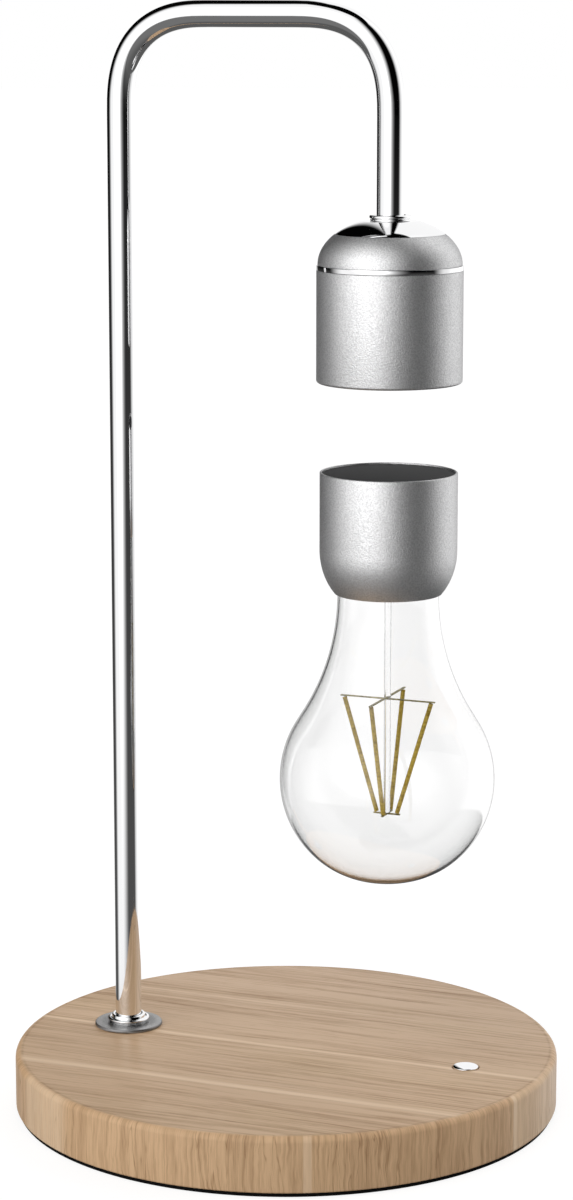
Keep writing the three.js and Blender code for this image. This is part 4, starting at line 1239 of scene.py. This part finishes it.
class LAMP_OT_bulb_cap(LampOperator):
    """Turns the cap of the bulb and the disc in its mouth"""

    bl_idname = "lamp.bulb_cap"
    bl_label = "Bulb cap"

    def execute(self, context):
        shown("bulb_cup", self.cup(), satin_metal(), "bulb", "satin_aluminium", ["bulb_cap"])
        lid = disc("cup_disc", CAP_LID, 0, 0.12 * MM, HEAD_X)
        charcoal = moulded("charcoal_disc", context.scene.lamp_colours.charcoal, 0.6, 1200, 0.01 * MM, 0.1)
        shown("cup_disc", lid, charcoal, "bulb", "charcoal_plastic", ["cap_lid"])
        return {"FINISHED"}

    def cup(self):
        sizes = self.sizes
        hole = sizes.neck_radius + sizes.seat_gap
        foot = hole + 0.8 * MM
        swing = math.acos(1 - (CAP.radius - foot) / sizes.cap_curve_depth)
        curve_top = CAP.bottom + sizes.cap_curve_height * math.sin(swing)
        centre = (CAP.radius - sizes.cap_curve_depth, curve_top)
        outer = arc(centre, sizes.cap_curve_depth, -swing, 0, 32, sizes.cap_curve_height)
        bore = CAP.radius - sizes.cap_wall
        depth = sizes.cap_curve_depth - sizes.cap_wall
        tall = sizes.cap_curve_height - sizes.cap_wall
        inner_swing = math.acos(1 - (bore - hole) / depth)
        inner = arc((bore - depth, curve_top), depth, 0, -inner_swing, 16, tall)
        mouth = CAP_LID.radius + sizes.seat_gap
        ledge = CAP_LID.bottom - sizes.seat_gap
        rim = softened([
            (CAP.radius, curve_top), (CAP.radius, CAP.top, 0.4 * MM), (mouth, CAP.top, 0.15 * MM),
            (mouth, ledge), (bore, ledge), (bore, curve_top)])
        return turned("bulb_cup", [(hole, CAP.bottom), *outer, *rim[1:-1], *inner], HEAD_X, FINE_SIDES)


class LAMP_OT_glass(LampOperator):
    """Blows the bulb and draws the stem in it"""

    bl_idname = "lamp.glass"
    bl_label = "Glass"

    def execute(self, context):
        shown("clear_bulb", self.bulb(), clear_glass(), "bulb", "clear_glass", ["glass_envelope"])
        stem_glass = clear_glass("stem_glass", (0.12, 0.12, 0.125), 0.22, 0.66)
        shown("clear_stem", self.stem(), stem_glass, "bulb", "stem_glass", ["glass_stem"])
        return {"FINISHED"}

    def bulb(self):
        """The globe, the hollow throat and the neck, as two skins a wall apart."""
        sizes = self.sizes
        globe, wall, throat = GLASS.radius, sizes.glass_wall, sizes.throat_radius
        middle = GLASS.bottom - sizes.globe_flat + globe
        throat_top = CAP.bottom - 0.4 * MM
        reach = sizes.neck_radius + throat
        drop = throat_top - middle
        turn = math.atan2(drop, reach)
        skins = []
        for inset in (0, wall):
            flat = sizes.globe_flat + (sizes.globe_pip if inset else 0)
            lower = [(across, height + flat * max((middle - height) / (globe - inset), 0) ** 10)
                     for across, height in arc((0, middle), globe - inset, -math.pi / 2, turn, 64)]
            upper = arc((reach, throat_top), throat + inset, math.pi + turn, math.pi, 40)
            lower[0] = (0, lower[0][1])
            skins.append([*lower, *upper[1:], (sizes.neck_radius - inset, GLASS.top)])
        return turned("clear_bulb", [*skins[0], *skins[1][::-1]], HEAD_X, FINE_SIDES)

    def stem(self):
        """The rod with its pinch and its flared foot in the neck."""
        sizes = self.sizes
        wall = sizes.glass_wall
        rim = STEM.radius
        flare_tall = 7 * MM
        flare_rounding = 2 * MM
        pinch_radius = 4.5 * MM
        pinch_tall = 3 * MM
        pinch_top = STEM.top - wall - flare_tall
        flare = ((1, 0), (0.96, 0.22), (0.72, 0.55), (0.4, 0.8))
        outer = [(pinch_radius + (rim - pinch_radius) * out,
                  STEM.top - wall - flare_tall * down, flare_rounding) for out, down in flare]
        inner = [(pinch_radius + (rim - wall - pinch_radius) * out,
                  STEM.top - flare_tall * down, flare_rounding) for out, down in flare[:-1]]
        corners = [
            (0, STEM.bottom), (sizes.stem_radius, STEM.bottom, 0.6 * MM),
            (sizes.stem_radius, pinch_top - pinch_tall, 3 * MM), (pinch_radius, pinch_top, 1 * MM),
            *outer[:0:-1], outer[0][:2], (rim, STEM.top), *inner, (0, pinch_top + wall * 2)]
        return turned("clear_stem", softened(corners), HEAD_X, SMALL_SIDES)


class LAMP_OT_filaments(LampOperator):
    """Sets the four filaments in their cone"""

    bl_idname = "lamp.filaments"
    bl_label = "Filaments"

    def execute(self, context):
        coat = filament_coat()
        shown("filament_rods", self.cone(coat), coat, "bulb", "amber_phosphor", numbered("filament", 4))
        return {"FINISHED"}

    def cone(self, coat):
        """Four rods that lean out from the cross at their feet to the ribbons over them."""
        sizes = self.sizes
        foot = CROSS.top
        lean = math.atan2(sizes.filament_top - sizes.filament_foot, RIBBON_X.bottom - foot)
        rise = sizes.filament_radius * math.sin(lean) + sizes.seam
        growth = Growth("Filament cone")
        _, count, low_r, high_r, low_z, top_x, top_y, middle, radius, paint = growth.inputs(
            count=4, foot_radius=sizes.filament_foot, top_radius=sizes.filament_top,
            foot_height=foot + rise, top_height_x=RIBBON_X.bottom - rise, top_height_y=RIBBON_Y.bottom - rise,
            bulb_place=HEAD_X, rod_radius=sizes.filament_radius, finish=coat)
        places = growth.add("GeometryNodeMeshLine", None, {"Count": count})
        line = growth.add("GeometryNodeCurvePrimitiveLine")
        lines = growth.add("GeometryNodeInstanceOnPoints", None, {"Points": places, "Instance": line})
        real = growth.add("GeometryNodeRealizeInstances", None, {0: lines})
        index = growth.add("GeometryNodeInputIndex")
        rod = growth.maths("FLOOR", index / 2)
        upper = index % 2
        angle = rod * math.tau / count
        top = top_x + (top_y - top_x) * (rod % 2)
        out = low_r + (high_r - low_r) * upper
        height = low_z + (top - low_z) * upper
        x = middle + out * growth.maths("COSINE", angle)
        y = out * growth.maths("SINE", angle)
        set_out = growth.add("GeometryNodeSetPosition", None, {
            "Geometry": real, "Position": growth.vector(x, y, height)})
        return growth.grown(point_cloud("rods"), growth.rod(set_out, 20, radius, True), paint)


class LAMP_OT_ribbons(LampOperator):
    """Makes the metal ribbons that join the filaments"""

    bl_idname = "lamp.ribbons"
    bl_label = "Ribbons"

    def execute(self, context):
        metal = ribbon_metal()
        for seat, node in ((RIBBON_X, "top_ribbon_x"), (RIBBON_Y, "top_ribbon_y")):
            mesh = self.strip(node, seat.low, seat.high)
            shown(node.replace("top", "fine"), mesh, metal, "bulb", "nickel_ribbon", [node])
        half = 0.45 * MM
        strips = [
            self.strip("cross_x", (CROSS.low.x, -half, CROSS.bottom), (CROSS.high.x, half, CROSS.top)),
            self.strip("cross_y", (HEAD_X - half, CROSS.low.y, CROSS.bottom),
                       (HEAD_X + half, CROSS.high.y, CROSS.top)),
        ]
        cross = carved(strips[0], [("UNION", strips[1])])
        shown("fine_cross", cross, metal, "bulb", "nickel_ribbon", ["foot_cross"])
        return {"FINISHED"}

    def strip(self, name, low, high):
        """A ribbon with softened edges."""
        mesh = block(name, low, high)
        made = bmesh.new()
        made.from_mesh(mesh)
        bmesh.ops.bevel(made, geom=made.edges, offset=0.07 * MM, segments=2, affect="EDGES", profile=0.5)
        made.to_mesh(mesh)
        made.free()
        return tidy(mesh)


class LAMP_OT_screws(LampOperator):
    """Sets fine screws in the cover and the board"""

    bl_idname = "lamp.screws"
    bl_label = "Screws"

    def execute(self, context):
        steel = plain_steel("screw_steel")
        self.set_of("cover_screw", 4, 2.8 * MM, 1.6 * MM, 1.4 * MM, False, steel)
        self.set_of("board_screw", 2, 2.0 * MM, 1.1 * MM, 1.0 * MM, True, steel)
        return {"FINISHED"}

    def set_of(self, name, count, head_radius, head_height, shank_radius, head_up, steel):
        """Slotted screws in the places of numbered CAD nodes, with their heads up or down."""
        nodes = numbered(name, count)
        seats = [Seat(node) for node in nodes]
        tall = seats[0].top - seats[0].bottom
        point = 0.8 * MM
        rim_height = slot_depth = head_height * 0.4
        upper_radius = head_radius if head_up else head_radius * 0.98
        slot_half, slot_width = head_radius * 0.8, 0.3 * MM
        screw = turned("screw", softened([
            (0, 0), (head_radius, 0, 0.2 * MM), (upper_radius, rim_height), (shank_radius, head_height),
            (shank_radius, tall - point), (0, tall)]), sides=32)
        slot = block("slot", (-slot_half, -slot_width, -1 * MM), (slot_half, slot_width, slot_depth))
        screw = carved(screw, [("DIFFERENCE", slot)])
        if head_up:
            screw.transform(Matrix.Translation((0, 0, tall)) @ Matrix.Rotation(math.pi, 4, "X"))
            tidy(screw)
        template = in_scene(screw)
        growth = Growth("Screws")
        points, shape_object, paint = growth.inputs(screw=template, finish=steel)
        shape = growth.add("GeometryNodeObjectInfo", None, {"Object": shape_object}, "Geometry")
        cloud = growth.add("GeometryNodeMeshToPoints", None, {0: points})
        placed = growth.add("GeometryNodeInstanceOnPoints", None, {"Points": cloud, "Instance": shape})
        places = point_cloud(name, [(seat.x, seat.y, seat.bottom) for seat in seats])
        mesh = growth.grown(places, placed, paint)
        bpy.data.objects.remove(template)
        shown(name + "s", mesh, steel, "stand", "satin_steel", nodes)


class LAMP_OT_inner_works(LampOperator):
    """Finishes the hidden works, which keep their CAD shapes"""

    bl_idname = "lamp.inner_works"
    bl_label = "Inner works"

    def execute(self, context):
        black = context.scene.lamp_colours.black
        dressed(["base_cover", "switch_plunger", "switch_body", "coil_bobbin", "magnet_carrier"],
                moulded("inner_plastic", black, 0.5))
        dressed(["arm_cable"], moulded("cable_sheath", black, 0.6, 1200))
        dressed(["control_board", "driver_board", "sensor_board", "rectifier_board"], circuit_green())
        dressed(["sending_coil", "levitation_coil", "receiving_coil"], winding())
        dressed(["float_magnet", "holding_magnet"], plain_steel("magnet_nickel", (0.70, 0.69, 0.67)))
        dressed(["coil_core"], plain_steel("soft_iron", (0.22, 0.22, 0.23)))
        dressed(["pole_washer", "pole_nut", "head_washer", "head_nut"], plain_steel("zinc_steel"))
        dressed(["lead_wire_1", "lead_wire_2"], ribbon_metal())
        return {"FINISHED"}


class LAMP_PT_panel(bpy.types.Panel):
    """Lists the lamp's sizes, colours and operators"""

    bl_idname = "LAMP_PT_panel"
    bl_label = "Balance lamp"
    bl_space_type = "VIEW_3D"
    bl_region_type = "UI"
    bl_category = "Lamp"

    def draw(self, context):
        for group in (context.scene.lamp_sizes, context.scene.lamp_colours, context.scene.lamp_stage):
            box = self.layout.box()
            for name in group.bl_rna.properties.keys():
                if name not in ("rna_type", "name"):
                    box.prop(group, name)
        for operator in OPERATORS:
            self.layout.operator(operator.bl_idname)


GROUPS = {"lamp_sizes": LampSizes, "lamp_colours": LampColours, "lamp_stage": LampStage}
OPERATORS = [
    LAMP_OT_camera, LAMP_OT_stage, LAMP_OT_base, LAMP_OT_inlet, LAMP_OT_button, LAMP_OT_swan_neck,
    LAMP_OT_foot_fittings, LAMP_OT_head, LAMP_OT_bulb_cap, LAMP_OT_glass, LAMP_OT_filaments,
    LAMP_OT_ribbons, LAMP_OT_screws, LAMP_OT_inner_works,
]


def register():
    for kind in (*GROUPS.values(), *OPERATORS, LAMP_PT_panel):
        bpy.utils.register_class(kind)
    for name, kind in GROUPS.items():
        setattr(bpy.types.Scene, name, PointerProperty(type=kind))


def unregister():
    for name in GROUPS:
        delattr(bpy.types.Scene, name)
    for kind in (LAMP_PT_panel, *reversed(OPERATORS), *reversed(GROUPS.values())):
        bpy.utils.unregister_class(kind)


def main():
    register()
    for operator in OPERATORS:
        family, name = operator.bl_idname.split(".")
        getattr(getattr(bpy.ops, family), name)()


if __name__ == "__main__":
    main()
